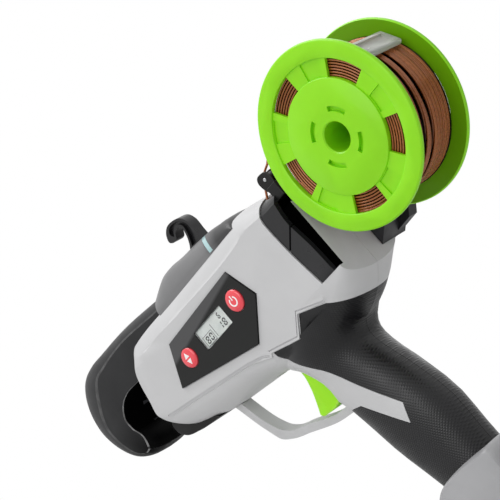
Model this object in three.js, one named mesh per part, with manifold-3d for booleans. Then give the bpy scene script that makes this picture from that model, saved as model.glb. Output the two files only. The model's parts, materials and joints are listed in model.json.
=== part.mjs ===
// Electric vine tying tool, in millimetres.
// The origin is the centre of the battery pack's flat base. +X points to the nose,
// +Y to the side with the display, +Z up. Outlines lie in the XZ plane unless they say so.
import * as THREE from 'three';
import { mergeVertices } from 'three/addons/utils/BufferGeometryUtils.js';
import Module from 'manifold-3d';

const wasm = await Module();
wasm.setup();

// Fits and walls
const gap = 0.3;              // clearance between touching pieces
const runGap = 0.5;           // clearance round pieces that move
const wall = 2.6;             // housing wall
const overrun = 4;            // how far a cutting tool runs past what it cuts
const skin = 2.4;             // rubber overmould on the grip

// Body housing: the box that its outlines fill
const bodyRear = -48;
const bodyLength = 173;
const bodyLow = 158;
const bodyHeight = 92;
const bodyHalf = 24.4;
const body = { x: bodyRear, z: bodyLow, w: bodyLength, h: bodyHeight };
const bodyFront = bodyRear + bodyLength;

// Nose: the box that its outlines fill
const noseLap = 33;           // how far the nose reaches back over the body
const noseRise = 30;          // from the body's lowest place to the nose's
const noseRear = bodyFront - noseLap;
const noseLength = 97.5;
const noseLow = bodyLow + noseRise;
const noseHeight = 66;
const noseHalf = 19;
const nose = { x: noseRear, z: noseLow, w: noseLength, h: noseHeight };

// Grip and what stands under it
const gripLow = 56;
const gripHeight = 116.3;
const gripDepth = 24;         // half depth at the palm swell
const gripHalf = 18;          // half width at the palm swell
const dockHeight = 28.5;
const dockLength = 94;
const dockHalf = 27;
const packLength = 88;
const packHalf = 24;
const packWall = 2.4;
const lidHeight = 12.4;
const cellRadius = 9;
const cellLength = 65;
const packHeight = 2 * packWall + 4 * cellRadius + 3 * gap;
const trayHeight = packHeight - lidHeight - gap;
const railDepth = 2.4;        // how far the dock's rails reach into the pack's grooves
const railHeight = 3.2;
const railDrop = 4.2;         // from the pack's top to its rail groove
const railInset = 4;          // how far the rails stop short of the pack's ends
const latchHalf = 9;
const latchTravel = 2;
const latchDepth = 5;
const latchRise = 2;          // from the tray's top to the latch
const latchDrop = 3;          // from the pack's top to the latch

// Spool, on an axis along Y
const spoolX = -97;
const spoolZ = 224;
const spoolRadius = 47.5;
const spoolHalf = 21.6;
const flangeThick = 2.8;
const drumRadius = 21;
const boreRadius = 7.6;
const rimWidth = 9;
const rimLift = 1.1;
const hubDiscRadius = 29;
const drumWall = 2;
const boreWall = 2.2;
const wireRadius = 0.65;
const coilWireRadius = 0.8;   // the wound wire stands for a bundle of thin turns
const wirePitch = 2.8;
const wireLoops = 12;
const coilRadius = 39;
const windowCount = 5;
const spokeShare = 0.56;      // share of the ring between windows that stays solid
const slotCount = 4;
const slotRadius = 14;
const slotWidth = 2.6;

// Spool arm on the right side
const armThick = 7;
const armHubRadius = 19;
const spindleRadius = 7.1;
const spindleLength = 21.5;

// Controls on the left side
const bezelThick = 1.6;
const bezelSeat = 0.8;
const powerButtonRadius = 6;
const rockerRadius = 5.6;
const buttonLift = 1.5;
const buttonTravel = 0.8;
const lcdLength = 27;
const lcdHeight = 11.2;
const boardThick = 1.6;

// Trigger and guard
const triggerHalf = 6.4;
const triggerPinRadius = 1.9;
const guardHalf = 4.3;

// Drive
const twistRise = 41.5;       // from the body's lowest place to the twist axis
const twistAxisZ = bodyLow + twistRise;
const motorRadius = 12.4;
const motorLength = 42;
const gearboxRadius = 13;
const gearboxLength = 24;
const twistShaftRadius = 3;
const twistHeadRadius = 7;
const twistHeadLength = 16;
const twistHeadProud = 3;     // how far the head stands out of the housing's front
const feedMotorRadius = 8.6;
const feedMotorLength = 13;
const rollerRadius = 5.4;
const rollerHalf = 3.6;
const knurlDepth = 0.6;
const axleRadius = 1.6;
const feedInset = 49;         // from the body's front to the feed rollers' axes
const feedRise = 20;          // from the twist axis to the drive roller's
const feedX = bodyFront - feedInset;
const feedZ = twistAxisZ + feedRise;
const ribThick = 2.4;
const tubeRadius = 1.9;
const tubeTail = 12;          // how far the wire tube starts behind the front rib
const tubeProud = 1.5;
const frameTail = 10;         // the feed frame behind, under and over its roller's axis
const frameDrop = 7;
const frameRise = 11;

// Solids, cuts and joins

// A solid from points and triangles, with its faces turned outwards
function closedSkin(positions, index) {
  const build = (order) => new wasm.Manifold(new wasm.Mesh({
    numProp: 3,
    vertProperties: new Float32Array(positions),
    triVerts: new Uint32Array(order),
  }));
  const solid = build(index);
  if (solid.volume() > 0) return solid;
  const flipped = [];
  for (let i = 0; i < index.length; i += 3) flipped.push(index[i], index[i + 2], index[i + 1]);
  return build(flipped);
}

function toSolid(geometry) {
  const clean = geometry.clone();
  clean.deleteAttribute('normal');
  clean.deleteAttribute('uv');
  const merged = mergeVertices(clean, 1e-4);
  return closedSkin(merged.attributes.position.array, merged.index.array);
}

function toGeometry(solid) {
  const mesh = solid.getMesh();
  const geometry = new THREE.BufferGeometry();
  geometry.setAttribute('position', new THREE.BufferAttribute(new Float32Array(mesh.vertProperties), 3));
  geometry.setIndex(new THREE.BufferAttribute(new Uint32Array(mesh.triVerts), 1));
  geometry.computeVertexNormals();
  return geometry;
}

const cut = (first, ...rest) => rest.reduce((solid, tool) => solid.subtract(tool), first);
const join = (first, ...rest) => rest.reduce((solid, other) => solid.add(other), first);
const meet = (first, ...rest) => rest.reduce((solid, other) => solid.intersect(other), first);

const inBox = (shares, box) => shares.map(([a, b]) => [box.x + a * box.w, box.z + b * box.h]);

// The outline moved outwards by a distance, along the mean of its neighbouring edges' normals
function grow(points, distance) {
  const count = points.length;
  const area = points.reduce((sum, [x, z], i) => {
    const [nextX, nextZ] = points[(i + 1) % count];
    return sum + x * nextZ - nextX * z;
  }, 0);
  const side = Math.sign(area);
  return points.map((point, i) => {
    const before = points[(i + count - 1) % count];
    const after = points[(i + 1) % count];
    const a = new THREE.Vector2(point[0] - before[0], point[1] - before[1]).normalize();
    const b = new THREE.Vector2(after[0] - point[0], after[1] - point[1]).normalize();
    const normal = new THREE.Vector2(a.y + b.y, -a.x - b.x).multiplyScalar(side).normalize();
    const reach = distance / Math.max(0.5, Math.abs(normal.dot(new THREE.Vector2(a.y, -a.x))));
    return [point[0] + normal.x * reach, point[1] + normal.y * reach];
  });
}

// A closed skin through rings of equal count, with flat ends
function loft(rings, flatten) {
  const count = rings[0].length;
  const positions = rings.flat().flatMap((point) => [point.x, point.y, point.z]);
  const index = [];
  for (let ring = 0; ring < rings.length - 1; ring += 1) {
    for (let i = 0; i < count; i += 1) {
      const a = ring * count + i;
      const b = ring * count + (i + 1) % count;
      index.push(a, b, b + count, a, b + count, a + count);
    }
  }
  const flat = rings[0].map(flatten);
  const clockwise = THREE.ShapeUtils.isClockWise(flat);
  const last = (rings.length - 1) * count;
  for (const face of THREE.ShapeUtils.triangulateShape(flat, [])) {
    const [a, b, c] = clockwise ? [...face].reverse() : face;
    index.push(c, b, a);
    index.push(last + a, last + b, last + c);
  }
  return closedSkin(positions, index);
}

// A plate: an XZ outline between two Y places
function plate(points, y0, y1) {
  const ring = (y) => points.map(([x, z]) => new THREE.Vector3(x, y, z));
  return loft([ring(y0), ring(y1)], (p) => new THREE.Vector2(p.x, p.z));
}

// A crowned body: its centre outline turns into its side outline as it nears each side
function crowned(centre, side, half, widthShares, blendShares) {
  const steps = widthShares.map((share, i) => [share * half, blendShares[i]]);
  const mirrored = steps.slice(1).reverse().map(([y, blend]) => [-y, blend]);
  const rings = [...mirrored, ...steps].map(([y, blend]) => centre.map(([x, z], i) => new THREE.Vector3(
    x + (side[i][0] - x) * blend,
    y,
    z + (side[i][1] - z) * blend,
  )));
  return loft(rings, (p) => new THREE.Vector2(p.x, p.z));
}

// A straight block between two corners
function box(x0, x1, y0, y1, z0, z1) {
  const geometry = new THREE.BoxGeometry(x1 - x0, y1 - y0, z1 - z0);
  geometry.translate((x0 + x1) / 2, (y0 + y1) / 2, (z0 + z1) / 2);
  return toSolid(geometry);
}

// A round bar along an axis, from one place on it to another
function rod(axis, radius, from, to, at, sides = 32) {
  const geometry = new THREE.CylinderGeometry(radius, radius, to - from, sides);
  geometry.translate(0, (from + to) / 2, 0);
  if (axis === 'x') geometry.rotateZ(-Math.PI / 2);
  if (axis === 'z') geometry.rotateX(Math.PI / 2);
  geometry.translate(...at);
  return toSolid(geometry);
}

// A ring of a profile [radius, y] turned round the Y axis
function turned(profile, segments = 60) {
  const points = [...profile, profile[0]].map(([radius, y]) => new THREE.Vector2(radius, y));
  return toSolid(new THREE.LatheGeometry(points, segments));
}

const arc = (cx, cz, radius, from, to, steps) => Array.from({ length: steps + 1 }, (_, i) => {
  const angle = THREE.MathUtils.degToRad(from + (to - from) * i / steps);
  return [cx + radius * Math.cos(angle), cz + radius * Math.sin(angle)];
});

const parts = new THREE.Group();

const finishes = {
  shell: { color: 0xc6c6c6, roughness: 0.5, metalness: 0 },
  dark: { color: 0x343434, roughness: 0.5, metalness: 0 },
  black: { color: 0x141416, roughness: 0.35, metalness: 0 },
  lime: { color: 0x99ea38, roughness: 0.4, metalness: 0 },
  rubber: { color: 0x26262a, roughness: 0.8, metalness: 0 },
  wire: { color: 0x7a4a33, roughness: 0.35, metalness: 0 },
  red: { color: 0xee4450, roughness: 0.35, metalness: 0 },
  clear: { color: 0xd8dcd8, roughness: 0.2, metalness: 0 },
  teal: { color: 0xa8c8c8, roughness: 0.3, metalness: 0 },
  lcd: { color: 0xd8dcd6, roughness: 0.3, metalness: 0 },
  board: { color: 0x1f6b3a, roughness: 0.5, metalness: 0 },
  steel: { color: 0xb8bcc0, roughness: 0.35, metalness: 1 },
  brass: { color: 0xc9a24a, roughness: 0.35, metalness: 1 },
  cell: { color: 0x3a78b8, roughness: 0.4, metalness: 0 },
};

function add(name, solid, finish, group = parts) {
  const material = new THREE.MeshStandardMaterial(finishes[finish]);
  const mesh = new THREE.Mesh(toGeometry(solid), material);
  mesh.name = name;
  group.add(mesh);
  return mesh;
}

// Left and right halves of a solid, with a seam at Y = 0
const far = bodyLength + noseLength;
const leftSpace = box(-far, far, gap / 2, far, -far, far);
const rightSpace = box(-far, far, -far, -gap / 2, -far, far);

function addHalves(name, solid, finish) {
  add(`${name}_left`, meet(solid, leftSpace), finish);
  add(`${name}_right`, meet(solid, rightSpace), finish);
}

// Body housing

const bodyCentreShares = [
  [0, 0.163], [0.058, 0.076], [0.145, 0.011], [0.243, 0], [0.312, 0], [0.439, 0.022], [0.474, 0.038],
  [0.532, 0.078], [0.659, 0.125], [0.809, 0.178], [0.896, 0.222], [0.948, 0.262], [0.98, 0.335],
  [1, 0.435], [0.988, 0.587], [0.948, 0.826], [0.913, 0.897], [0.879, 0.913], [0.624, 0.913],
  [0.289, 0.913], [0.231, 0.902], [0.197, 0.891], [0.139, 0.857], [0.081, 0.83], [0.017, 0.808],
  [0, 0.777],
];
const bodySideShares = [
  [0, 0.25], [0.069, 0.215], [0.139, 0.176], [0.242, 0.246], [0.3, 0.142], [0.424, 0.205],
  [0.434, 0.185], [0.532, 0.245], [0.659, 0.288], [0.827, 0.348], [0.913, 0.375], [0.964, 0.397],
  [0.988, 0.424], [0.999, 0.457], [0.988, 0.548], [0.93, 0.772], [0.902, 0.788], [0.879, 0.783],
  [0.624, 0.777], [0.275, 0.772], [0.249, 0.777], [0.205, 0.793], [0.149, 0.783], [0.09, 0.766],
  [0.017, 0.75], [0, 0.734],
];
const crownWidthShares = [0, 0.55, 0.76, 0.9, 1];
const crownBlendShares = [0, 0.08, 0.26, 0.55, 1];

function bodySolid(extra) {
  return crowned(
    grow(inBox(bodyCentreShares, body), extra),
    grow(inBox(bodySideShares, body), extra),
    bodyHalf + extra,
    crownWidthShares,
    crownBlendShares,
  );
}

// Grip: each section is its height, centre, half depth and half width
const gripSectionShares = [
  [0, -0.44, 0.79, 0.889], [0.123, -0.396, 0.813, 0.906], [0.206, -0.333, 0.875, 0.917],
  [0.375, -0.221, 0.996, 0.972], [0.538, -0.054, 0.967, 1], [0.619, 0.05, 0.938, 1.017],
  [0.748, 0.292, 0.929, 1.067], [0.825, 0.396, 0.979, 1.133], [0.877, 0.396, 1.146, 1.211],
  [0.937, 0.167, 1.583, 1.289], [1, -0.167, 1.75, 1.344],
];
const gripRoundness = 2.4;    // the power of the superellipse
const gripPoints = 16;

function gripSolid(extra) {
  const rings = gripSectionShares.map(([height, centre, deep, wide]) => {
    const a = deep * gripDepth + extra;
    const b = wide * gripHalf + extra;
    return Array.from({ length: gripPoints }, (_, i) => {
      const angle = 2 * Math.PI * i / gripPoints;
      const c = Math.cos(angle);
      const s = Math.sin(angle);
      return new THREE.Vector3(
        centre * gripDepth + a * Math.sign(c) * Math.abs(c) ** (2 / gripRoundness),
        b * Math.sign(s) * Math.abs(s) ** (2 / gripRoundness),
        gripLow + height * gripHeight,
      );
    });
  });
  return loft(rings, (p) => new THREE.Vector2(p.x, p.y));
}

// The part of the neck that the rubber leaves bare, with its arrow along the grip
const bareShares = [
  [1.023, 1.075], [1.023, 1.009], [0.925, 0.935], [0.675, 0.812], [0.483, 0.673], [0.2, 0.49],
  [0.283, 0.405], [0.656, 0.603], [0.815, 0.618], [1.75, 0.616], [1.75, 1.075],
];
const gripBox = { x: -gripDepth, z: gripLow, w: 2 * gripDepth, h: gripHeight };
const bareSolid = (extra) => plate(grow(inBox(bareShares, gripBox), extra), -far, far);

// Battery dock
const dockLow = packHeight + gap;
const dock = { x: -dockLength / 2, z: dockLow, w: dockLength, h: dockHeight };
const dockShares = [
  [0.01, 0], [0, 0.86], [0.03, 1], [0.436, 1], [0.65, 0.5], [0.93, 0.28], [0.96, 0.1], [0.96, 0],
];
const dockSideShares = [
  [0.03, 0], [0.03, 0.8], [0.05, 0.93], [0.436, 0.93], [0.63, 0.46], [0.9, 0.24], [0.93, 0.1], [0.93, 0],
];
const dockWidthShares = [0, 0.7, 0.88, 1];
const dockBlendShares = [0, 0.1, 0.4, 1];

function dockSolid(extra) {
  return crowned(
    grow(inBox(dockShares, dock), extra),
    grow(inBox(dockSideShares, dock), extra),
    dockHalf + extra,
    dockWidthShares,
    dockBlendShares,
  );
}

// Display, buttons and what they need in the left shell
const bezelShares = [[0.734, 0.686], [0.354, 0.706], [0.314, 0.492], [0.438, 0.291], [0.815, 0.452]];
const powerShare = [0.393, 0.556];
const rockerShare = [0.7, 0.539];
const lcdShare = [0.539, 0.549];
const [powerX, powerZ] = inBox([powerShare], body)[0];
const [rockerX, rockerZ] = inBox([rockerShare], body)[0];
const [lcdX, lcdZ] = inBox([lcdShare], body)[0];
const bezelFloor = bodyHalf - bezelSeat;
const bezelFace = bezelFloor + gap + bezelThick;
const boardY = 14.6;
const switchLift = 2.4;
const stemRadius = 2.6;
const lcdFrame = 1.2;
const boardLength = 72;
const boardHeight = 29;

const bezelOutline = inBox(bezelShares, body);
const lcdHole = (extra, y0, y1) => box(
  lcdX - lcdLength / 2 - extra, lcdX + lcdLength / 2 + extra, y0, y1,
  lcdZ - lcdHeight / 2 - extra, lcdZ + lcdHeight / 2 + extra,
);

// Rear side covers and the wire slot behind them, in the left shell
const coverRecessShares = [
  [0.095, 0.833], [0.105, 0.795], [0.116, 0.717], [0.116, 0.637], [0.11, 0.485], [0.093, 0.254],
  [0.028, 0.254], [0.034, 0.45], [0.046, 0.604], [0.045, 0.66], [0.039, 0.72], [0.029, 0.81],
];
const coverSeamShares = [[0.03, 0.622], [0.13, 0.478], [0.13, 0.49], [0.03, 0.634]];
const recessDepth = 4;
const sideCoverThick = 2.3;
const slotDepth = 12;
const slotWidthX = 7.4;
const slotLowShare = 0.254;
const slotHighShare = 0.84;
const slotLow = bodyLow + slotLowShare * bodyHeight;
const slotHigh = bodyLow + slotHighShare * bodyHeight;
const recessFloor = bodyHalf - recessDepth;
const slotFloor = bodyHalf - slotDepth;
const recessOutline = inBox(coverRecessShares, body);

// Trigger, its pivot and the guard
const triggerX = 34;
const triggerZ = 170.5;
const triggerReach = 34.5;
const triggerShares = [
  [0.12, 0.06], [0.09, -0.1], [0.06, -0.29], [0.12, -0.52], [0.23, -0.75], [0.33, -0.92],
  [0.29, -0.975], [-0.03, -1], [-0.23, -0.96], [-0.28, -0.6], [-0.19, -0.2], [-0.12, 0.06], [-0.04, 0.13],
  [0.05, 0.13],
];
const fromPivot = (shares) => shares.map(([a, b]) => [
  triggerX + a * triggerReach, triggerZ + b * triggerReach,
]);
const triggerOutline = fromPivot(triggerShares);
const triggerSlotRear = 17;
const triggerRoom = 2.3;      // free space under the trigger's tip
const triggerRoofShare = 0.22;
const cheekThick = 2.4;       // plates in the housing that carry the trigger's pin
const cheekRear = 4;
const cheekFront = 47;
const cheekLow = 143;
const cheekHigh = 184;
const guardOutlineShares = [
  [1.784, 0.348], [1.46, -0.54], [1.36, -0.74], [1.16, -0.865], [0.75, -1], [0.12, -1.19], [-0.3, -1.24],
  [-0.3, -1.1], [0.09, -1.07], [0.71, -0.87], [1.1, -0.74], [1.23, -0.64], [1.32, -0.51], [1.644, 0.342],
];
const guardOutline = fromPivot(guardOutlineShares);

// Drive line places
const twistY = -3;
const driveReach = 122;       // from the body's front back to the twist motor's rear end
const motorRear = bodyFront - driveReach;
const gearboxRear = motorRear + motorLength + gap;
const gearboxFront = gearboxRear + gearboxLength;
const ribInsets = [115, 70, 27];
const [ribA, ribB, ribC] = ribInsets.map((inset) => bodyFront - inset);
const wireLine = feedZ + rollerRadius + gap + wireRadius;
const tubeRear = ribC - tubeTail;
const tubeFront = bodyFront + tubeProud;
const headFront = bodyFront + twistHeadProud;
const headRear = headFront - twistHeadLength;
const throatHalf = 9.4;
const throatDeep = 17;        // depth of the opening in the body's front
const throatRise = 32.5;      // from the twist axis to the opening's upper edge
const tongueSeat = 2;         // height of the space under the twister for the jaw's tongue
const throatLow = twistAxisZ - twistHeadRadius - runGap - tongueSeat;
const throatHigh = twistAxisZ + throatRise;
const openingRear = bodyFront - throatDeep;
const headSpace = rod('x', twistHeadRadius + runGap, headRear - runGap, bodyFront + overrun,
  [0, twistY, twistAxisZ], 24);

// Screw columns: where the shells are screwed together, and where the arm is
const columnRadius = 3.6;
const screwRadius = 1.5;
const screwHeadRadius = 2.9;
const screwHeadThick = 1.6;
const screwLength = 16;
const columnBack = 17;        // from the motor's rear end back to the rear columns
const columnInset = 34;       // from the body's front back to the front column
const columnLift = 30;        // from the body's lowest place to the lower columns
const columnRise = 40;        // from the lower columns to the upper one
const columnLow = bodyLow + columnLift;
const columnPlaces = [
  [motorRear - columnBack, columnLow + columnRise], [motorRear - columnBack, columnLow],
  [bodyFront - columnInset, columnLow],
];
const armScrewInset = 24;
const armScrewShares = [0.37, 0.707];
const armScrewPlaces = armScrewShares.map((share) => [
  bodyRear + armScrewInset, bodyLow + share * bodyHeight,
]);

// Wire guide at the top of the slot
const guideInset = 4.3;
const guideX = bodyRear + guideInset;
const guideRise = 3.5;        // from the slot's upper end to the guide roller's axis
const guideZ = slotHigh + guideRise;
const guideY = 15.6;
const guideRollerRadius = 2.8;
const guideRollerHalf = 2.2;
const guidePinRadius = 1;
const earThick = 1.8;
const earRadius = 3.6;
const guideBaseHeight = 8.6;

// The wire's route: from the spool, over the guide roller and down into the housing
const spoolRoute = [[24.8, 32.4], [33, 28.7], [43, 23.6]];
const guideRoute = [[3.3, 2], [6.3, -1.2], [8.8, -4.2], [11.3, -7.2]];
const routeFrom = (x, z, route) => route.map(([a, b]) => [x + a, guideY, z + b]);
const rollerTop = guideRollerRadius + 2 * gap + wireRadius;
const leadPoints = [
  ...routeFrom(spoolX, spoolZ, spoolRoute),
  [bodyRear + gap, guideY, guideZ + rollerTop + wireRadius + gap],
  [guideX, guideY, guideZ + rollerTop],
  ...routeFrom(guideX, guideZ, guideRoute),
];

function tube(points, radius, steps, sides) {
  const path = new THREE.CatmullRomCurve3(points.map((p) => new THREE.Vector3(...p)));
  const section = new THREE.Shape(Array.from({ length: sides }, (_, i) => new THREE.Vector2(
    radius * Math.cos(2 * Math.PI * i / sides),
    radius * Math.sin(2 * Math.PI * i / sides),
  )));
  return toSolid(new THREE.ExtrudeGeometry(section, { steps, extrudePath: path }));
}

// The shells as one solid, before it is parted at Y = 0
const outer = join(bodySolid(0), gripSolid(-skin), meet(gripSolid(0), bareSolid(0)));
const rearBlock = 22;         // depth of the solid block behind the cavity, which holds the slot
const pocketWall = 3;
const cavity = join(
  meet(bodySolid(-wall), box(bodyRear + rearBlock, far, -far, far, -far, far)),
  gripSolid(-skin - wall),
  box(bodyRear + pocketWall, bodyRear + rearBlock + overrun, -bodyHalf + wall, slotFloor - wall,
    slotLow + pocketWall, slotHigh - 3 * pocketWall),
);

function rib(x) {
  return meet(box(x, x + ribThick, -far, far, -far, far), bodySolid(-wall / 2));
}

const cheek = (side) => meet(
  box(cheekRear, cheekFront, side > 0 ? triggerHalf + runGap : -triggerHalf - runGap - cheekThick,
    side > 0 ? triggerHalf + runGap + cheekThick : -triggerHalf - runGap, cheekLow, cheekHigh),
  join(bodySolid(-wall / 2), gripSolid(-skin - wall / 2), meet(gripSolid(-wall / 2), bareSolid(0))),
);

const columns = columnPlaces.map(([x, z]) => meet(
  rod('y', columnRadius, -bodyHalf, bodyHalf, [x, 0, z], 12),
  bodySolid(-wall / 2),
));
const armColumns = armScrewPlaces.map(([x, z]) => meet(
  rod('y', columnRadius, -bodyHalf, 0, [x, 0, z], 12),
  bodySolid(-wall / 2),
));

const screwHole = (x, z, y, length) => join(
  rod('y', screwHeadRadius + gap, y - overrun, y + screwHeadThick + gap, [x, 0, z], 14),
  rod('y', screwRadius + gap, y, y + length + gap, [x, 0, z], 10),
);

const triggerSlot = box(triggerSlotRear, cheekFront + overrun, -triggerHalf - runGap, triggerHalf + runGap,
  triggerZ - triggerReach - triggerRoom, triggerZ + triggerRoofShare * triggerReach);

const housing = cut(
  join(cut(outer, cavity), rib(ribA), rib(ribB), rib(ribC), cheek(1), cheek(-1), ...columns, ...armColumns),
  triggerSlot,
  rod('y', triggerPinRadius + gap, -triggerHalf - overrun, triggerHalf + overrun,
    [triggerX, 0, triggerZ], 12),
  rod('x', motorRadius + gap, motorRear, gearboxRear, [0, twistY, twistAxisZ], 28),
  rod('x', gearboxRadius + gap, gearboxRear, gearboxFront + gap, [0, twistY, twistAxisZ], 28),
  rod('x', twistShaftRadius + gap, gearboxFront, far, [0, twistY, twistAxisZ], 16),
  headSpace,
  rod('x', tubeRadius + gap, tubeRear - overrun, far, [0, 0, wireLine], 12),
  box(openingRear, far, -throatHalf, throatHalf, throatLow, throatHigh),
  plate(grow(bezelOutline, gap), bezelFloor, far),
  rod('y', stemRadius + runGap, 0, far, [powerX, 0, powerZ], 16),
  rod('y', stemRadius + runGap, 0, far, [rockerX, 0, rockerZ], 16),
  lcdHole(gap, 0, far),
  box(lcdX - boardLength / 2 - gap, lcdX + boardLength / 2 + gap, boardY - gap, boardY + boardThick + gap,
    lcdZ - boardHeight / 2 - gap, lcdZ + boardHeight / 2 + gap),
  plate(recessOutline, recessFloor, far),
  box(bodyRear - overrun, bodyRear + slotWidthX + gap, slotFloor, far, slotLow, slotHigh),
  ...columnPlaces.map(([x, z]) => screwHole(x, z, -bodyHalf, screwLength)),
  ...armScrewPlaces.map(([x, z]) => rod('y', screwRadius + gap, -far, -bodyHalf + screwLength,
    [x, 0, z], 10)),
  tube(leadPoints.slice(4), 3 * wireRadius, 8, 8),
);

addHalves('housing', housing, 'shell');

// Rubber over the grip, which ends behind at the palm swell
const rubberRearShare = 1.25;
const rubber = cut(
  gripSolid(0),
  gripSolid(-skin + gap),
  bodySolid(gap),
  bareSolid(gap),
  dockSolid(gap),
  box(-far, -rubberRearShare * gripDepth, -far, far, -far, far),
);
addHalves('grip_rubber', rubber, 'rubber');

// Rear side covers
const coverPlate = plate(grow(recessOutline, -gap), recessFloor + gap, recessFloor + gap + sideCoverThick);
const seam = plate(inBox(coverSeamShares, body), 0, far);
const [coverLower, coverUpper] = cut(coverPlate, seam).decompose()
  .sort((a, b) => a.boundingBox().min[2] - b.boundingBox().min[2]);
add('rear_cover_upper', coverUpper, 'dark');
add('rear_cover_lower', coverLower, 'dark');

// Top cover with its light strip and the hanging hook
const coverShares = [
  [0.243, 0.848], [0.798, 0.848], [0.805, 1], [0.755, 1.01], [0.72, 1.038], [0.68, 1.053],
  [0.61, 1.035], [0.529, 1.007], [0.451, 0.993], [0.335, 0.96], [0.254, 0.902],
];
const coverHalf = 20;
const coverSideShare = 0.2;   // height of the cover's side edge against its centre
const coverWidthShares = [0, 0.6, 0.78, 0.92, 1];
const coverBlendShares = [0, 0.06, 0.25, 0.6, 1];
const coverLowShare = 0.848;
const coverLow = bodyLow + coverLowShare * bodyHeight;

function coverSolid(extra) {
  const centre = inBox(coverShares, body);
  const side = centre.map(([x, z]) => [x, coverLow + (z - coverLow) * coverSideShare]);
  return crowned(
    grow(centre, extra), grow(side, extra), coverHalf + extra, coverWidthShares, coverBlendShares,
  );
}

const stripShare = 0.416;
const stripX = bodyRear + stripShare * bodyLength;
const stripWide = 2.6;
const stripRake = 11;         // how far the strip's ends lie behind its middle
const stripDeep = 1.6;
const stripFlatShare = 0.35;

function stripTool(extra) {
  const wide = stripWide / 2 + extra;
  const flat = stripFlatShare * coverHalf;
  const end = coverHalf + overrun;
  const back = stripX - stripRake;
  const outline = [
    [back - wide, -end], [stripX - wide, -flat], [stripX - wide, flat], [back - wide, end],
    [back + wide, end], [stripX + wide, flat], [stripX + wide, -flat], [back + wide, -end],
  ];
  const ring = (z) => outline.map(([x, y]) => new THREE.Vector3(x, y, z));
  return loft([ring(bodyLow), ring(bodyLow + 2 * bodyHeight)], (p) => new THREE.Vector2(p.x, p.y));
}

const stripFloor = (depth) => coverSolid(0).translate([0, 0, -depth]);
const strip = cut(meet(coverSolid(0), stripTool(0)), stripFloor(stripDeep), bodySolid(gap));
const topCover = cut(coverSolid(0), bodySolid(gap), cut(stripTool(gap), stripFloor(stripDeep + gap)));
add('top_cover', topCover, 'dark');
add('light_strip', strip, 'teal');

const hookShare = 0.4566;
const hookX = bodyRear + hookShare * bodyLength;
const hookHeight = 19.2;
const hookLength = 20;
const hookHalf = 3.4;
const hookLow = bodyLow + bodyHeight;
const hook = { x: hookX, z: hookLow, w: hookLength, h: hookHeight };
const hookShares = [
  [0, -0.04], [0.63, 0.02], [0.49, 0.17], [0.34, 0.46], [0.31, 0.66], [0.42, 0.75], [0.6, 0.71],
  [0.74, 0.56], [0.9, 0.57], [1.02, 0.67], [0.96, 0.84], [0.74, 1], [0.45, 1], [0.09, 0.82],
  [0, 0.63], [0, 0.27],
];
add('hanging_hook', cut(plate(inBox(hookShares, hook), -hookHalf, hookHalf), coverSolid(gap)), 'dark');

// Nose
const noseCentreShares = [
  [0, 0.933], [0.297, 0.97], [0.554, 0.985], [0.697, 0.991], [0.821, 0.962], [0.923, 0.848],
  [0.979, 0.705], [1, 0.53], [0.977, 0.371], [0.928, 0.235], [0.867, 0.133], [0.779, 0.05],
  [0.677, 0.005], [0.593, 0.012], [0.579, 0.076], [0.59, 0.182], [0.621, 0.288], [0.621, 0.386],
  [0.559, 0.477], [0.472, 0.515], [0.359, 0.515], [0.123, 0.485], [0, 0.636],
];
const noseSideShares = [
  [0.041, 0.788], [0.303, 0.848], [0.482, 0.833], [0.605, 0.803], [0.667, 0.727], [0.718, 0.644],
  [0.764, 0.561], [0.795, 0.47], [0.795, 0.333], [0.769, 0.212], [0.728, 0.121], [0.697, 0.088],
  [0.662, 0.07], [0.634, 0.076], [0.615, 0.129], [0.606, 0.186], [0.636, 0.291], [0.639, 0.385],
  [0.575, 0.491], [0.476, 0.536], [0.361, 0.532], [0.123, 0.53], [0.041, 0.636],
];
const noseWidthShares = [0, 0.5, 0.75, 0.92, 1];
const noseBlendShares = [0, 0.12, 0.38, 0.75, 1];
const noseSolid = crowned(
  inBox(noseCentreShares, nose), inBox(noseSideShares, nose), noseHalf, noseWidthShares, noseBlendShares,
);
const nosePocketShares = [
  [0.4, 0.64], [0.6, 0.62], [0.69, 0.53], [0.74, 0.4], [0.73, 0.28], [0.8, 0.26], [0.88, 0.4],
  [0.9, 0.54], [0.84, 0.74], [0.7, 0.88], [0.4, 0.88],
];
const nosePocketHalf = 11;
const guideThick = 2.2;
const guideHalf = 3;
const guideLineShares = [
  [0.36, 0.541], [0.475, 0.541], [0.57, 0.5], [0.638, 0.395], [0.638, 0.285], [0.607, 0.176],
  [0.598, 0.084],
];

// An even band along a line of points
function ribbon(points, thickness) {
  const normals = points.map((point, i) => {
    const before = points[Math.max(0, i - 1)];
    const after = points[Math.min(points.length - 1, i + 1)];
    const along = new THREE.Vector2(after[0] - before[0], after[1] - before[1]).normalize();
    return [-along.y * thickness / 2, along.x * thickness / 2];
  });
  const left = points.map(([x, z], i) => [x + normals[i][0], z + normals[i][1]]);
  const right = points.map(([x, z], i) => [x - normals[i][0], z - normals[i][1]]);
  return [...left, ...right.reverse()];
}

const guideLine = inBox(guideLineShares, nose);
const curlGuide = plate(ribbon(guideLine, guideThick), -guideHalf, guideHalf);
const noseCut = cut(
  noseSolid,
  bodySolid(gap),
  coverSolid(gap),
  plate(inBox(nosePocketShares, nose), -nosePocketHalf, nosePocketHalf),
  plate(grow(ribbon(guideLine, guideThick), gap), -guideHalf - gap, guideHalf + gap),
  rod('x', tubeRadius + gap, tubeRear, tubeFront + gap, [0, 0, wireLine], 12),
);
addHalves('nose', noseCut, 'dark');
add('curl_guide', curlGuide, 'steel');

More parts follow.
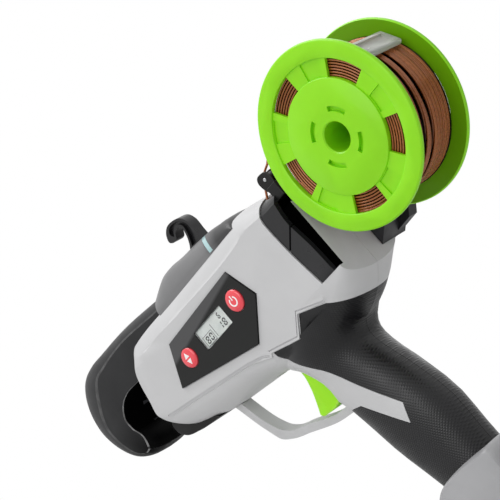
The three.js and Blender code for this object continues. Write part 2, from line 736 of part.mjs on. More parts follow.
// Lower jaw: what closes the loop under the nose, with a tongue that the shells hold
const jawShares = [[0.843, 0.199], [0.89, 0.21], [0.96, 0.235], [1.023, 0.277]];
const jawFrontShare = 1.043;
const jawBackShare = 1.006;
const jawLipShare = 0.425;    // how far up the jaw's front its lip lies
const jawFaceDrop = 6.5;      // from the twist axis to the front edge of the jaw's top
const jawTopDrop = 3.5;
const jawLower = inBox(jawShares, body);
const jawFront = bodyRear + jawFrontShare * bodyLength;
const jawFace = twistAxisZ - jawFaceDrop;
const jawOutline = [
  ...jawLower,
  [jawFront, THREE.MathUtils.lerp(jawLower.at(-1)[1], jawFace, jawLipShare)],
  [jawFront, jawFace],
  [bodyRear + jawBackShare * bodyLength, twistAxisZ - jawTopDrop],
];
const jawHalf = 13;
const jawTongueProud = 2;
const tongueHalf = throatHalf - gap;
const jaw = join(
  cut(plate(jawOutline, -jawHalf, jawHalf), bodySolid(gap), headSpace),
  meet(
    box(openingRear + gap, bodyFront + jawTongueProud, -tongueHalf, tongueHalf, throatLow + gap,
      twistAxisZ - twistHeadRadius - runGap),
    box(openingRear, far, -far, far, -far, far),
  ),
);
add('lower_jaw', jaw, 'black');

// Display panel on the left side

const bezel = cut(
  plate(bezelOutline, bezelFloor + gap, bezelFace),
  rod('y', powerButtonRadius + runGap, 0, far, [powerX, 0, powerZ], 28),
  rod('y', rockerRadius + runGap, 0, far, [rockerX, 0, rockerZ], 28),
  lcdHole(gap, 0, far),
);
add('display_bezel', bezel, 'black');

const windowThick = 1.2;
add('display_window', lcdHole(0, bezelFace - windowThick, bezelFace), 'clear');
add('display_module', lcdHole(-lcdFrame, boardY + boardThick + gap, bezelFace - windowThick - gap), 'lcd');

const switchSize = 6;
const tactSwitch = (x, z) => box(
  x - switchSize / 2, x + switchSize / 2, boardY, boardY + boardThick + switchLift,
  z - switchSize / 2, z + switchSize / 2,
);
const board = join(
  box(lcdX - boardLength / 2, lcdX + boardLength / 2, boardY, boardY + boardThick,
    lcdZ - boardHeight / 2, lcdZ + boardHeight / 2),
  tactSwitch(powerX, powerZ),
  tactSwitch(rockerX, rockerZ),
);
add('control_board', board, 'board');

// A round key: a cap in the bezel and a stem that reaches its switch on the board
function key(x, z, radius) {
  const capLow = bezelFloor + gap + buttonTravel;
  const stemEnd = boardY + boardThick + switchLift + gap + buttonTravel;
  const domeShare = 0.8;
  const edgeShare = 0.4;
  const shoulderShare = 0.85;
  const cap = turned([
    [0, capLow], [radius, capLow], [radius, bezelFace + edgeShare * buttonLift],
    [domeShare * radius, bezelFace + shoulderShare * buttonLift], [0, bezelFace + buttonLift],
  ], 28).translate([x, 0, z]);
  return join(cap, rod('y', stemRadius, stemEnd, capLow + gap, [x, 0, z], 16));
}
add('power_button', key(powerX, powerZ, powerButtonRadius), 'red');
add('adjust_rocker', key(rockerX, rockerZ, rockerRadius), 'red');

// Trigger, pin, return spring, switch and guard
const hubRadius = 4.4;
const springHalfWidth = 1.2;
const springOuter = 3.7;
const springPlace = triggerHalf - springHalfWidth - gap;
const triggerBlade = plate(triggerOutline, -triggerHalf, triggerHalf);
const triggerHub = rod('y', hubRadius, -triggerHalf, triggerHalf, [triggerX, 0, triggerZ], 20);
const triggerBody = cut(
  join(triggerBlade, triggerHub),
  rod('y', triggerPinRadius + gap, -far, far, [triggerX, 0, triggerZ], 12),
  box(triggerX - far, triggerX + hubRadius, springPlace - springHalfWidth - gap, far,
    triggerZ - springOuter - runGap, far),
);
add('trigger', triggerBody, 'lime');

const cheekOuter = triggerHalf + runGap + cheekThick;
const pinAxis = [triggerX, 0, triggerZ];
add('trigger_pin', rod('y', triggerPinRadius, -cheekOuter, cheekOuter, pinAxis, 12), 'steel');

const springLeg = 8;
const spring = cut(
  join(
    rod('y', springOuter, springPlace - springHalfWidth, springPlace + springHalfWidth,
      [triggerX, 0, triggerZ], 20),
    box(triggerX - springLeg, triggerX,
      springPlace - springHalfWidth / 2, springPlace + springHalfWidth / 2,
      triggerZ + springOuter / 2, triggerZ + springOuter - gap),
  ),
  rod('y', triggerPinRadius + gap, -far, far, [triggerX, 0, triggerZ], 12),
);
add('trigger_spring', spring, 'steel');

const switchFront = 20.3;
const switchRear = 7;
const switchLow = 147;
const switchHigh = 158;
add('trigger_switch', box(switchRear, switchFront, -triggerHalf - runGap + gap, triggerHalf + runGap - gap,
  switchLow, switchHigh), 'black');

const guard = cut(
  plate(guardOutline, -guardHalf, guardHalf),
  bodySolid(gap),
  gripSolid(gap),
  triggerSlot,
);
add('trigger_guard', guard, 'shell');

// Drive line inside the housing
const twistAxis = [0, twistY, twistAxisZ];
add('twist_motor', rod('x', motorRadius, motorRear, motorRear + motorLength, twistAxis, 28), 'steel');
add('gearbox', rod('x', gearboxRadius, gearboxRear, gearboxFront, twistAxis, 28), 'dark');

const headSlot = 2.6;
const headSlotDepth = 9;
const twister = cut(
  join(
    rod('x', twistShaftRadius, gearboxFront + gap, headFront, [0, twistY, twistAxisZ], 16),
    rod('x', twistHeadRadius, headRear, headFront, [0, twistY, twistAxisZ], 24),
  ),
  box(headFront - headSlotDepth, far, -far, far, twistAxisZ - headSlot / 2, twistAxisZ + headSlot / 2),
);
add('twister_head', twister, 'steel');

const frameThick = 1.6;
const frameRear = feedX - frameTail;
const frameFront = ribC - gap;
const frameLow = feedZ - frameDrop;
const frameHigh = wireLine + frameRise;
const frameInner = rollerHalf + runGap;
const pinchZ = wireLine + wireRadius + gap + rollerRadius;
const axleReach = frameInner + frameThick;
const feedFrame = cut(
  box(frameRear, frameFront, -axleReach, axleReach, frameLow, frameHigh),
  box(-far, far, -frameInner, frameInner, frameLow + frameThick, far),
  rod('y', axleRadius + gap, -far, far, [feedX, 0, feedZ], 12),
  rod('y', axleRadius + gap, -far, far, [feedX, 0, pinchZ], 12),
  bodySolid(0).subtract(bodySolid(-wall - gap)),
);
add('feed_frame', feedFrame, 'steel');

const knurls = 14;
function roller(z, reach) {
  const wheel = plate(Array.from({ length: 2 * knurls }, (_, i) => {
    const radius = i % 2 ? rollerRadius : rollerRadius - knurlDepth;
    const angle = Math.PI * i / knurls;
    return [feedX + radius * Math.cos(angle), z + radius * Math.sin(angle)];
  }), -rollerHalf, rollerHalf);
  return join(wheel, rod('y', axleRadius, -reach, axleReach, [feedX, 0, z], 12));
}
add('drive_roller', roller(feedZ, axleReach + gap), 'steel');
add('pinch_roller', roller(pinchZ, axleReach), 'steel');
const feedMotorFace = -axleReach - 2 * gap;
add('feed_motor', rod('y', feedMotorRadius, feedMotorFace - feedMotorLength, feedMotorFace,
  [feedX, 0, feedZ], 24), 'steel');
const tubeBore = wireRadius + gap;
add('wire_tube', cut(
  rod('x', tubeRadius, tubeRear, tubeFront, [0, 0, wireLine], 12),
  rod('x', tubeBore, -far, far, [0, 0, wireLine], 10),
), 'steel');

// Wire guide: a bracket in the top of the slot, with a roller on a pin between two ears
const earPlaces = [
  guideY - guideRollerHalf - gap - earThick,
  guideY + guideRollerHalf + gap,
];
const earShares = [
  [-0.98, -2.2], [0.75, -2.2], [1.5, -0.3], [1.5, 0.6], [1.05, 1.05], [-0.5, 1.05], [-1.05, 0.3],
];
const earOutline = earShares.map(([a, b]) => [guideX + a * earRadius, guideZ + b * earRadius]);
const guideBase = box(bodyRear + gap, bodyRear + slotWidthX, slotFloor + gap, recessFloor - gap,
  slotHigh - guideBaseHeight, slotHigh - gap);
const bracket = cut(
  join(guideBase, ...earPlaces.map((y) => cut(
    plate(earOutline, y, y + earThick),
    cut(bodySolid(gap), box(bodyRear - overrun, bodyRear + slotWidthX, slotFloor, far, slotLow, slotHigh)),
  ))),
  rod('y', guidePinRadius + gap, -far, far, [guideX, 0, guideZ], 12),
  box(bodyRear - overrun, far, guideY - guideRollerHalf - gap, guideY + guideRollerHalf + gap,
    guideZ - guideRollerRadius - runGap, far),
);
add('guide_bracket', bracket, 'black');
const guideAxis = [guideX, 0, guideZ];
add('guide_pin', rod('y', guidePinRadius, earPlaces[0], earPlaces[1] + earThick, guideAxis, 12), 'steel');
add('guide_roller', cut(
  rod('y', guideRollerRadius, guideY - guideRollerHalf, guideY + guideRollerHalf, [guideX, 0, guideZ], 20),
  rod('y', guidePinRadius + gap, -far, far, [guideX, 0, guideZ], 12),
), 'dark');
add('tie_wire_lead', tube(leadPoints, wireRadius, 16, 8), 'wire');

// Spool, in its own group at its axis
const spool = new THREE.Group();
spool.position.set(spoolX, 0, spoolZ);
parts.add(spool);

const windowInner = hubDiscRadius;
const windowOuter = spoolRadius - rimWidth;
const windowPitch = 360 / windowCount;
const windowPhase = 2;
const slotSpan = 42;
const slotPhase = 50;

function flange(side) {
  const face = side * spoolHalf;
  const back = side * (spoolHalf - flangeThick);
  const floorY = side * (spoolHalf - rimLift);
  const slotDeep = spoolHalf - 2 * flangeThick;
  const rootY = back + side * gap;
  const drumEnd = side * gap / 2;
  const drumHollow = drumRadius - drumWall;
  const disc = turned([
    [boreRadius, back], [spoolRadius, back], [spoolRadius, face], [boreRadius, face],
  ], 36);
  const drum = turned([
    [drumHollow, drumEnd], [drumRadius, drumEnd], [drumRadius, rootY], [drumHollow, rootY],
  ], 20);
  const bossOuter = boreRadius + boreWall;
  const boss = turned([
    [boreRadius, drumEnd], [bossOuter, drumEnd], [bossOuter, rootY], [boreRadius, rootY],
  ], 18);
  const above = face + side * overrun;
  const recess = turned([
    [windowInner, floorY], [windowOuter, floorY], [windowOuter, above], [windowInner, above],
  ], 36);
  const windows = Array.from({ length: windowCount }, (_, i) => {
    const middle = windowPhase + windowPitch * i;
    const half = windowPitch * (1 - spokeShare) / 2;
    return plate([
      ...arc(0, 0, windowOuter, middle - half, middle + half, 4),
      ...arc(0, 0, windowInner, middle + half, middle - half, 4),
    ], -far, far);
  });
  const slots = Array.from({ length: slotCount }, (_, i) => {
    const middle = slotPhase + 360 / slotCount * i;
    return plate([
      ...arc(0, 0, slotRadius + slotWidth / 2, middle - slotSpan / 2, middle + slotSpan / 2, 3),
      ...arc(0, 0, slotRadius - slotWidth / 2, middle + slotSpan / 2, middle - slotSpan / 2, 3),
    ], Math.min(side * slotDeep, side * far), Math.max(side * slotDeep, side * far));
  });
  return cut(join(disc, drum, boss), recess, ...windows, ...slots);
}
add('spool_flange_left', flange(1), 'lime', spool);
add('spool_flange_right', flange(-1), 'lime', spool);

const coilHalf = spoolHalf - flangeThick - gap;
const loopSteps = 24;
const wireSides = 6;
const coilLineRadius = coilRadius - coilWireRadius;
const coilCoreRadius = coilLineRadius * Math.cos(Math.PI / loopSteps) - coilWireRadius - gap;
const coilEase = 1;           // width of the core's slanted edges
const coilFlatShare = 0.96;
const coilFlat = coilCoreRadius * coilFlatShare;
const coilInner = drumRadius + gap;
add('coil_core', turned([
  [coilInner, -coilHalf], [coilFlat, -coilHalf], [coilCoreRadius, coilEase - coilHalf],
  [coilCoreRadius, coilHalf - coilEase], [coilFlat, coilHalf], [coilInner, coilHalf],
], 32), 'wire', spool);

// The wire's centre line: straight for one diameter, then loop after loop, then straight again
function coilLine() {
  const turns = wireLoops * loopSteps;
  const span = (wireLoops - 1) * wirePitch;
  const points = Array.from({ length: turns + 1 }, (_, i) => {
    const angle = 2 * Math.PI * i / loopSteps;
    const y = span * (i / turns - 1 / 2);
    return new THREE.Vector3(coilLineRadius * Math.cos(angle), y, coilLineRadius * Math.sin(angle));
  });
  const lead = (end, next) => end.clone().add(end.clone().sub(next).setLength(2 * coilWireRadius));
  return [lead(points[0], points[1]), ...points, lead(points[turns], points[turns - 1])];
}

// The least distance between the wire's surface and its own other loops, measured on points
function leastGap(line, radius) {
  const apart = loopSteps / 2;
  let least = Infinity;
  for (let i = 0; i < line.length; i += 1) {
    for (let j = i + apart; j < line.length; j += 1) {
      const step = new THREE.Line3(line[j - 1], line[j]);
      const nearest = step.closestPointToPoint(line[i], true, new THREE.Vector3());
      least = Math.min(least, nearest.distanceTo(line[i]) - 2 * radius);
    }
  }
  return least;
}

// The outer layer of wire: one tube that winds from one flange to the other
function coilLayer(line) {
  const positions = [];
  line.forEach((point, i) => {
    const before = line[Math.max(0, i - 1)];
    const after = line[Math.min(line.length - 1, i + 1)];
    const along = after.clone().sub(before).normalize();
    const outwards = new THREE.Vector3(point.x, 0, point.z).normalize();
    const across = new THREE.Vector3().crossVectors(along, outwards).normalize();
    outwards.crossVectors(across, along);
    for (let j = 0; j < wireSides; j += 1) {
      const turn = 2 * Math.PI * j / wireSides;
      const rim = point.clone()
        .addScaledVector(outwards, coilWireRadius * Math.cos(turn))
        .addScaledVector(across, coilWireRadius * Math.sin(turn));
      positions.push(rim.x, rim.y, rim.z);
    }
  });
  const index = [];
  const last = (line.length - 1) * wireSides;
  for (let i = 0; i < last; i += wireSides) {
    for (let j = 0; j < wireSides; j += 1) {
      const a = i + j;
      const b = i + (j + 1) % wireSides;
      index.push(a, b, b + wireSides, a, b + wireSides, a + wireSides);
    }
  }
  for (let j = 1; j < wireSides - 1; j += 1) {
    index.push(0, j + 1, j);
    index.push(last, last + j, last + j + 1);
  }
  return closedSkin(positions, index);
}
const windingLine = coilLine();
console.log(`coil_layer least gap to itself: ${leastGap(windingLine, coilWireRadius).toFixed(2)} mm`);
add('coil_layer', coilLayer(windingLine), 'wire', spool);

const clipAngle = 150;
const clipHalf = 15;
const clipLength = 13;
const clipHeight = 3.4;
const clipSlot = 1.2;
const clip = new THREE.Group();
clip.rotation.y = -THREE.MathUtils.degToRad(clipAngle);
spool.add(clip);
const clipLow = coilRadius + gap;
add('wire_clip', cut(
  box(clipLow, clipLow + clipHeight, -clipHalf, clipHalf, -clipLength / 2, clipLength / 2),
  box(clipLow + clipSlot, clipLow + clipHeight - clipSlot, -clipHalf + clipSlot * 2, far,
    -clipLength / 2 + clipSlot * 2, clipLength / 2 - clipSlot * 2),
), 'clear', clip);

// Spool arm on the right side, with the spindle
const armFace = -bodyHalf - gap;
const armBack = armFace - armThick;
const armShares = [
  [-0.08, 0.25], [0, 0.245], [0.18, 0.24], [0.2, 0.3], [0.2, 0.7], [0.16, 0.77], [0, 0.82],
];
const armBody = inBox(armShares, body);
const armHubStart = 70;
const armHubEnd = 300;
const armOutline = [
  ...arc(spoolX, spoolZ, armHubRadius, armHubStart, armHubEnd, 14),
  ...armBody,
];
const footInner = 11;
const footDrop = 2.4;
const footRiseShare = 0.52;
const spoolClear = 2.4;
const footStart = -28;        // the angles at which the foot's hollow starts and ends
const footEnd = -46;
const footOutline = [
  [bodyRear - gap, slotLow - footDrop], [bodyRear - gap, spoolZ - footRiseShare * spoolRadius],
  ...arc(spoolX, spoolZ, spoolRadius + spoolClear, footStart, footEnd, 5),
];
const armSpindleHole = 5;
const arm = cut(
  join(plate(armOutline, armBack, armFace), plate(footOutline, armBack, -footInner)),
  bodySolid(gap),
  rod('y', armSpindleHole + gap, -far, far, [spoolX, 0, spoolZ], 20),
  ...armScrewPlaces.map(([x, z]) => screwHole(x, z, armBack, screwLength)),
);
add('spool_arm', arm, 'dark');

const collarRadius = 11;
const collarFace = -spoolHalf - runGap;
const spindle = join(
  rod('y', armSpindleHole, armBack, armFace + 2 * gap, [spoolX, 0, spoolZ], 20),
  rod('y', collarRadius, armFace + gap, collarFace, [spoolX, 0, spoolZ], 28),
  rod('y', spindleRadius, armFace + gap, armFace + gap + spindleLength, [spoolX, 0, spoolZ], 24),
);
add('spool_spindle', spindle, 'dark');
const nutRadius = 9;
const nutThick = 3;
const nutFace = armBack - gap;
add('spindle_nut', rod('y', nutRadius, nutFace - nutThick, nutFace, [spoolX, 0, spoolZ], 6), 'steel');

// Screws
function screw(x, z, face) {
  return join(
    rod('y', screwHeadRadius, face, face + screwHeadThick, [x, 0, z], 12),
    rod('y', screwRadius, face + screwHeadThick / 2, face + screwLength, [x, 0, z], 8),
  );
}
columnPlaces.forEach(([x, z], i) => add(`housing_screw_${i + 1}`, screw(x, z, -bodyHalf), 'steel'));
armScrewPlaces.forEach(([x, z], i) => add(`arm_screw_${i + 1}`, screw(x, z, armBack), 'steel'));

// Battery dock under the grip, with its rails and terminals
const dockWall = 2.6;
const skirtInset = 6;         // how far the skirts stop short of the dock's ends
const skirtRoot = 3;          // how far the skirts reach up into the dock
const skirtLip = 1.2;
const skirtLow = packHeight - railDrop - railHeight - skirtLip;
const skirtInner = packHalf + gap;
const skirt = (side) => join(
  box(skirtInset - dockLength / 2, dockLength / 2 - skirtInset, side > 0 ? skirtInner : -dockHalf,
    side > 0 ? dockHalf : -skirtInner, skirtLow, dockLow + skirtRoot),
  box(railInset - packLength / 2, packLength / 2 - railInset,
    side > 0 ? packHalf - railDepth + gap : -dockHalf, side > 0 ? dockHalf : -packHalf + railDepth - gap,
    packHeight - railDrop - railHeight + gap, packHeight - railDrop - gap),
);
const terminalRear = -30;
const terminalLength = 22;
const terminalHalf = 13;
const terminalThick = 2.2;
const bladeY = 8;
const bladeThick = 1.2;
const bladeDrop = 2;
const bladeInset = 2;
const dockPocketShares = [
  [0.09, -0.15], [0.91, -0.15], [0.91, 0.14], [0.62, 0.36], [0.41, 0.88], [0.09, 0.88],
];
const dockPocketHalf = dockHalf - 2 * dockWall;
const plateLow = dockLow + 2 * gap + terminalThick;
const dockPiece = cut(
  join(
    cut(dockSolid(0), plate(inBox(dockPocketShares, dock), -dockPocketHalf, dockPocketHalf)),
    skirt(1),
    skirt(-1),
    box(terminalRear - dockWall, terminalRear + terminalLength + dockWall, -dockPocketHalf - gap,
      dockPocketHalf + gap, plateLow, plateLow + dockWall),
  ),
  gripSolid(-skin + gap),
);
add('battery_dock', dockPiece, 'shell');

const terminals = join(
  box(terminalRear, terminalRear + terminalLength, -terminalHalf, terminalHalf, dockLow + gap,
    dockLow + gap + terminalThick),
  ...[-bladeY, bladeY].map((y) => box(
    terminalRear + bladeInset, terminalRear + terminalLength - bladeInset,
    y - bladeThick / 2, y + bladeThick / 2,
    packHeight - bladeDrop, dockLow + 2 * gap,
  )),
);
add('terminal_block', terminals, 'brass');

// Battery pack: tray, lid, cells and latch
const packInnerX = cellLength / 2 + gap;
const cellY = cellRadius + gap;
const lidInner = cellY + cellRadius + gap;
const tray = cut(
  box(-packLength / 2, packLength / 2, -packHalf, packHalf, 0, trayHeight),
  box(-packInnerX, packInnerX, -lidInner, lidInner, packWall, trayHeight + overrun),
);
add('battery_tray', tray, 'black');

const latchSeat = packLength / 2 - latchDepth;
const latchLow = trayHeight + latchRise;
const latchHigh = packHeight - latchDrop;
const groove = (side) => box(-far, far, side > 0 ? packHalf - railDepth : -far,
  side > 0 ? far : -packHalf + railDepth, packHeight - railDrop - railHeight, packHeight - railDrop);
const lid = cut(
  box(-packLength / 2, packLength / 2, -packHalf, packHalf, trayHeight + gap, packHeight),
  box(-packInnerX, packInnerX, -lidInner, lidInner, trayHeight - overrun, packHeight - packWall),
  groove(1),
  groove(-1),
  ...[-bladeY, bladeY].map((y) => box(-far, terminalRear + terminalLength, y - bladeThick, y + bladeThick,
    packHeight - bladeDrop - gap, far)),
  box(latchSeat, far, -latchHalf - gap, latchHalf + gap, latchLow - gap, latchHigh + gap),
);
add('battery_lid', lid, 'black');
add('battery_latch', box(latchSeat + latchTravel + gap, packLength / 2 + latchTravel, -latchHalf, latchHalf,
  latchLow, latchHigh), 'red');

const cellLow = packWall + gap + cellRadius;
const cellHigh = cellLow + 2 * cellY;
const cellPlaces = [[-cellY, cellLow], [cellY, cellLow], [-cellY, cellHigh], [cellY, cellHigh]];
cellPlaces.forEach(([y, z], i) => add(
  `battery_cell_${i + 1}`, rod('x', cellRadius, -cellLength / 2, cellLength / 2, [0, y, z], 16), 'cell',
));

export default parts;
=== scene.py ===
"""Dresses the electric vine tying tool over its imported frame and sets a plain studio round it."""

import json
import logging
import math
from dataclasses import dataclass
from enum import Enum
from typing import Callable, Optional, Sequence

import bmesh
import bpy
from bmesh.types import BMEdge, BMesh, BMFace, BMVert
from mathutils import Matrix, Vector

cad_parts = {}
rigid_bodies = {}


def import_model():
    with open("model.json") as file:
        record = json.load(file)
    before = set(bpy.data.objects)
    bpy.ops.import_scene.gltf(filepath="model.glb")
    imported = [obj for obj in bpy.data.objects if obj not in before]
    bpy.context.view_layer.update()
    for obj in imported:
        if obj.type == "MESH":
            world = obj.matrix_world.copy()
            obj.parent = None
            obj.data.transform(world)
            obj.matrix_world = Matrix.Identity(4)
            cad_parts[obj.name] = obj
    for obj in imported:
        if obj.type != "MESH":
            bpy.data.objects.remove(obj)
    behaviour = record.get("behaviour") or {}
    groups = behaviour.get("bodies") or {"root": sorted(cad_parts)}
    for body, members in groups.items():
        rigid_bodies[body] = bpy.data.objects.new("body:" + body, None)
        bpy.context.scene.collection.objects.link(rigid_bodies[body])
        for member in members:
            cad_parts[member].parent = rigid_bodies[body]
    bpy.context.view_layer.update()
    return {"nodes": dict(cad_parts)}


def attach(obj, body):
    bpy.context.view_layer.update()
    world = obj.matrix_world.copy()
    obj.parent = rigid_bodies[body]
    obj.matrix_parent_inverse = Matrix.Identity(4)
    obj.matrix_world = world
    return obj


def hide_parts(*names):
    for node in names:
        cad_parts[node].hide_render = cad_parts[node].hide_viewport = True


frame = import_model()

log = logging.getLogger("vine_tool")

# Shapes are drawn in millimetres, and MM turns them into metres
MM = 0.001
WELD = 0.004
WIRE_WELD = 0.0001
SLICE_SLACK = 0.00001
NO_LENGTH = 0.000001
LEAST_SLANT = 0.5
FLAT = math.radians(0.15)
SHORTEST_EDGE = 0.6
TRIES = 6
VOLUME_SLACK = 0.01
LEAST_SHARE = 0.002
REACH = 60
SCREW_BORE = 3.3
SCREW_FLOOR = 1.9
EDGE_MARK = "edge"
# Faces with this mark get painted shade: a darker colour and less gloss where light hardly reaches
PAINTED_SHADE_MARK = "deep"
FULL_TURN = 2 * math.pi

Point = tuple[float, float]
Triple = tuple[float, float, float]
Socket = bpy.types.NodeSocket


class Join(Enum):
    """How one solid is worked with another."""

    CUT = "DIFFERENCE"
    ADD = "UNION"
    MEET = "INTERSECT"


class Side(Enum):
    """The half of a part that is split along its middle."""

    LEFT = 1
    RIGHT = -1

    @property
    def word(self) -> str:
        """The side's name in a piece's name."""
        return self.name.lower()


# Outlines


def eased(start: Vector, end: Vector, leaving: Vector, reaching: Vector, parts: int) -> list[Vector]:
    """Samples one eased stretch between two points, without its end.

    Args:
        start: Where it starts.
        end: Where it ends.
        leaving: Its direction at the start, as long as the stretch.
        reaching: Its direction at the end, as long as the stretch.
        parts: The number of samples.

    Returns:
        The samples.
    """
    return [
        start * (2 * t ** 3 - 3 * t ** 2 + 1) + leaving * (t ** 3 - 2 * t ** 2 + t)
        + end * (3 * t ** 2 - 2 * t ** 3) + reaching * (t ** 3 - t ** 2)
        for t in (part / parts for part in range(parts))
    ]


def eased_line(points: Sequence[Vector], parts: int) -> list[Vector]:
    """Eases an open line of points.

    Args:
        points: The points that the line goes through.
        parts: The number of samples between two points.

    Returns:
        The eased line.
    """
    line: list[Vector] = []
    for index in range(len(points) - 1):
        before, start = points[max(0, index - 1)], points[index]
        end, after = points[index + 1], points[min(len(points) - 1, index + 2)]
        line += eased(start, end, (end - before) / 2, (after - start) / 2, parts)
    return line + [points[-1].copy()]


@dataclass(frozen=True)
class Outline:
    """A closed outline in millimetres, eased between its points and sharp at its corners."""

    points: tuple[Point, ...]
    corners: frozenset[int] = frozenset()

    def counts(self, step: float) -> list[int]:
        """Counts the samples that each stretch between two points gets.

        Args:
            step: The length of one sample in millimetres.

        Returns:
            One count for each stretch.
        """
        ends = self.points[1:] + self.points[:1]
        return [max(1, round(math.dist(a, b) / step)) for a, b in zip(self.points, ends)]

    def _heading(self, index: int, forward: bool) -> Vector:
        """Finds the direction of the line at one point.

        Args:
            index: The point's place in the outline.
            forward: Whether the stretch after the point is meant.

        Returns:
            The direction, scaled for a stretch of unit length.
        """
        count = len(self.points)
        here = Vector(self.points[index % count])
        before = Vector(self.points[(index - 1) % count])
        after = Vector(self.points[(index + 1) % count])
        back, front = (here - before), (after - here)
        if index % count in self.corners:
            return (front if forward else back).normalized()
        first, second = back.length, front.length
        return (back / first * second + front / second * first) / (first + second)

    def traced(self, counts: Sequence[int]) -> list[Point]:
        """Traces the outline.

        Args:
            counts: The samples of each stretch, as counts() gives them.

        Returns:
            The points of the traced line.
        """
        line: list[Point] = []
        total = len(self.points)
        for index, count in enumerate(counts):
            start, end = Vector(self.points[index]), Vector(self.points[(index + 1) % total])
            span = (end - start).length
            leaving = self._heading(index, True) * span
            reaching = self._heading(index + 1, False) * span
            line += [(spot.x, spot.y) for spot in eased(start, end, leaving, reaching, count)]
        return line

    def line(self, step: float) -> list[Point]:
        """Traces the outline with samples of about one length."""
        return self.traced(self.counts(step))


def grown(points: Sequence[Point], distance: float) -> list[Point]:
    """Moves a closed line outwards.

    Args:
        points: The closed line.
        distance: How far it moves; a negative distance moves it inwards.

    Returns:
        The moved line, point for point.
    """
    count = len(points)
    turn = sum(a[0] * b[1] - b[0] * a[1] for a, b in zip(points, list(points[1:]) + [points[0]]))
    side = math.copysign(1.0, turn)
    moved: list[Point] = []
    for index, point in enumerate(points):
        back = (Vector(point) - Vector(points[index - 1])).normalized()
        front = (Vector(points[(index + 1) % count]) - Vector(point)).normalized()
        normal = Vector((back.y + front.y, -back.x - front.x)) * side
        if normal.length < NO_LENGTH:
            moved.append(point)
            continue
        normal.normalize()
        reach = distance / max(LEAST_SLANT, abs(normal.dot(Vector((back.y, -back.x)))))
        moved.append((point[0] + normal.x * reach, point[1] + normal.y * reach))
    return moved


def banded(points: Sequence[Point], width: float) -> list[Point]:
    """Turns an open line into an even band.

    Args:
        points: The open line.
        width: The band's width.

    Returns:
        The band's closed outline.
    """
    left: list[Point] = []
    right: list[Point] = []
    for index, point in enumerate(points):
        before = Vector(points[max(0, index - 1)])
        after = Vector(points[min(len(points) - 1, index + 1)])
        along = (after - before).normalized() * width / 2
        left.append((point[0] - along.y, point[1] + along.x))
        right.append((point[0] + along.y, point[1] - along.x))
    return left + right[::-1]


def arc(centre: Point, radius: float, start: float, end: float, steps: int) -> list[Point]:
    """Draws part of a circle.

    Args:
        centre: The circle's centre.
        radius: Its radius.
        start: The first angle in degrees.
        end: The last angle in degrees.
        steps: The number of chords.

    Returns:
        The points from the first angle to the last.
    """
    angles = [math.radians(start + (end - start) * i / steps) for i in range(steps + 1)]
    return [(centre[0] + radius * math.cos(a), centre[1] + radius * math.sin(a)) for a in angles]


# Solids


def extruded(corners: Sequence[Sequence[float]], way: Sequence[float]) -> BMesh:
    """Raises a flat face into a solid.

    Args:
        corners: The corners of the face.
        way: How far it is raised along each axis.

    Returns:
        The solid.
    """
    work = bmesh.new()
    face = work.faces.new([work.verts.new(corner) for corner in corners])
    raised = bmesh.ops.extrude_face_region(work, geom=[face])
    moved = [item for item in raised["geom"] if isinstance(item, BMVert)]
    bmesh.ops.translate(work, verts=moved, vec=way)
    bmesh.ops.recalc_face_normals(work, faces=work.faces)
    return work


def prism(outline: Sequence[Point], near: float, far: float) -> BMesh:
    """Raises a closed outline of the X-Z plane from one Y to another."""
    return extruded([(x, near, z) for x, z in outline], (0, far - near, 0))


def block(low: Sequence[float], high: Sequence[float]) -> BMesh:
    """Makes a plain block.

    Args:
        low: The block's lowest corner.
        high: Its highest corner.

    Returns:
        The solid.
    """
    work = bmesh.new()
    middle = [(a + b) / 2 for a, b in zip(low, high)]
    size = [b - a for a, b in zip(low, high)]
    bmesh.ops.create_cube(work, size=1.0, matrix=Matrix.Translation(middle) @ Matrix.Diagonal((*size, 1.0)))
    return work


def lofted(rings: Sequence[Sequence[Vector]], inset: float = 0.0) -> BMesh:
    """Lofts one closed solid through rings of the same number of points.

    Args:
        rings: The rings in order.
        inset: The width of the band that eases the two end faces into the loft.

    Returns:
        The solid.
    """
    work = bmesh.new()
    across = len(rings[0])
    bmesh.ops.create_grid(work, x_segments=across, y_segments=len(rings) - 1, size=1.0)
    work.verts.ensure_lookup_table()
    for row, ring in enumerate(rings):
        for column in range(across + 1):
            work.verts[row * (across + 1) + column].co = ring[column % across]
    bmesh.ops.remove_doubles(work, verts=work.verts, dist=WELD)
    closed = bmesh.ops.holes_fill(work, edges=work.edges, sides=0)
    bmesh.ops.recalc_face_normals(work, faces=work.faces)
    if inset:
        for face in closed["faces"]:
            bmesh.ops.inset_region(work, faces=[face], thickness=inset, use_even_offset=True)
    return work


def crowned(
    centre: Sequence[Point],
    side: Sequence[Point],
    half: float,
    bands: Sequence[Triple],
    lift: Optional[Sequence[float]] = None,
    inset: float = 0.0,
    flat: Optional[Sequence[Point]] = None,
) -> BMesh:
    """Makes a body whose outline changes from its middle to its two sides.

    Args:
        centre: The outline at Y = 0.
        side: The outline at each side.
        half: Half of the width.
        bands: For each ring its share of the half width, and how far it has blended into the side
            outline where lift is 0 and where lift is 1.
        lift: For each point of the outline, which of the two blends it follows.
        inset: The width of the band that eases the side faces.
        flat: The outline of the flat of each side, where it differs from the last ring.

    Returns:
        The solid.
    """
    shares = lift or [0.0] * len(centre)
    steps = [(-width, low, high) for width, low, high in reversed(bands[1:])] + list(bands)
    rings = []
    for width, low, high in steps:
        ring = []
        for middle, edge, share in zip(centre, side, shares):
            blend = low + (high - low) * share
            ring.append(Vector((
                middle[0] + (edge[0] - middle[0]) * blend, width * half,
                middle[1] + (edge[1] - middle[1]) * blend,
            )))
        rings.append(ring)
    if flat:
        rings.insert(0, [Vector((x, -half, z)) for x, z in flat])
        rings.append([Vector((x, half, z)) for x, z in flat])
    return lofted(rings, inset)


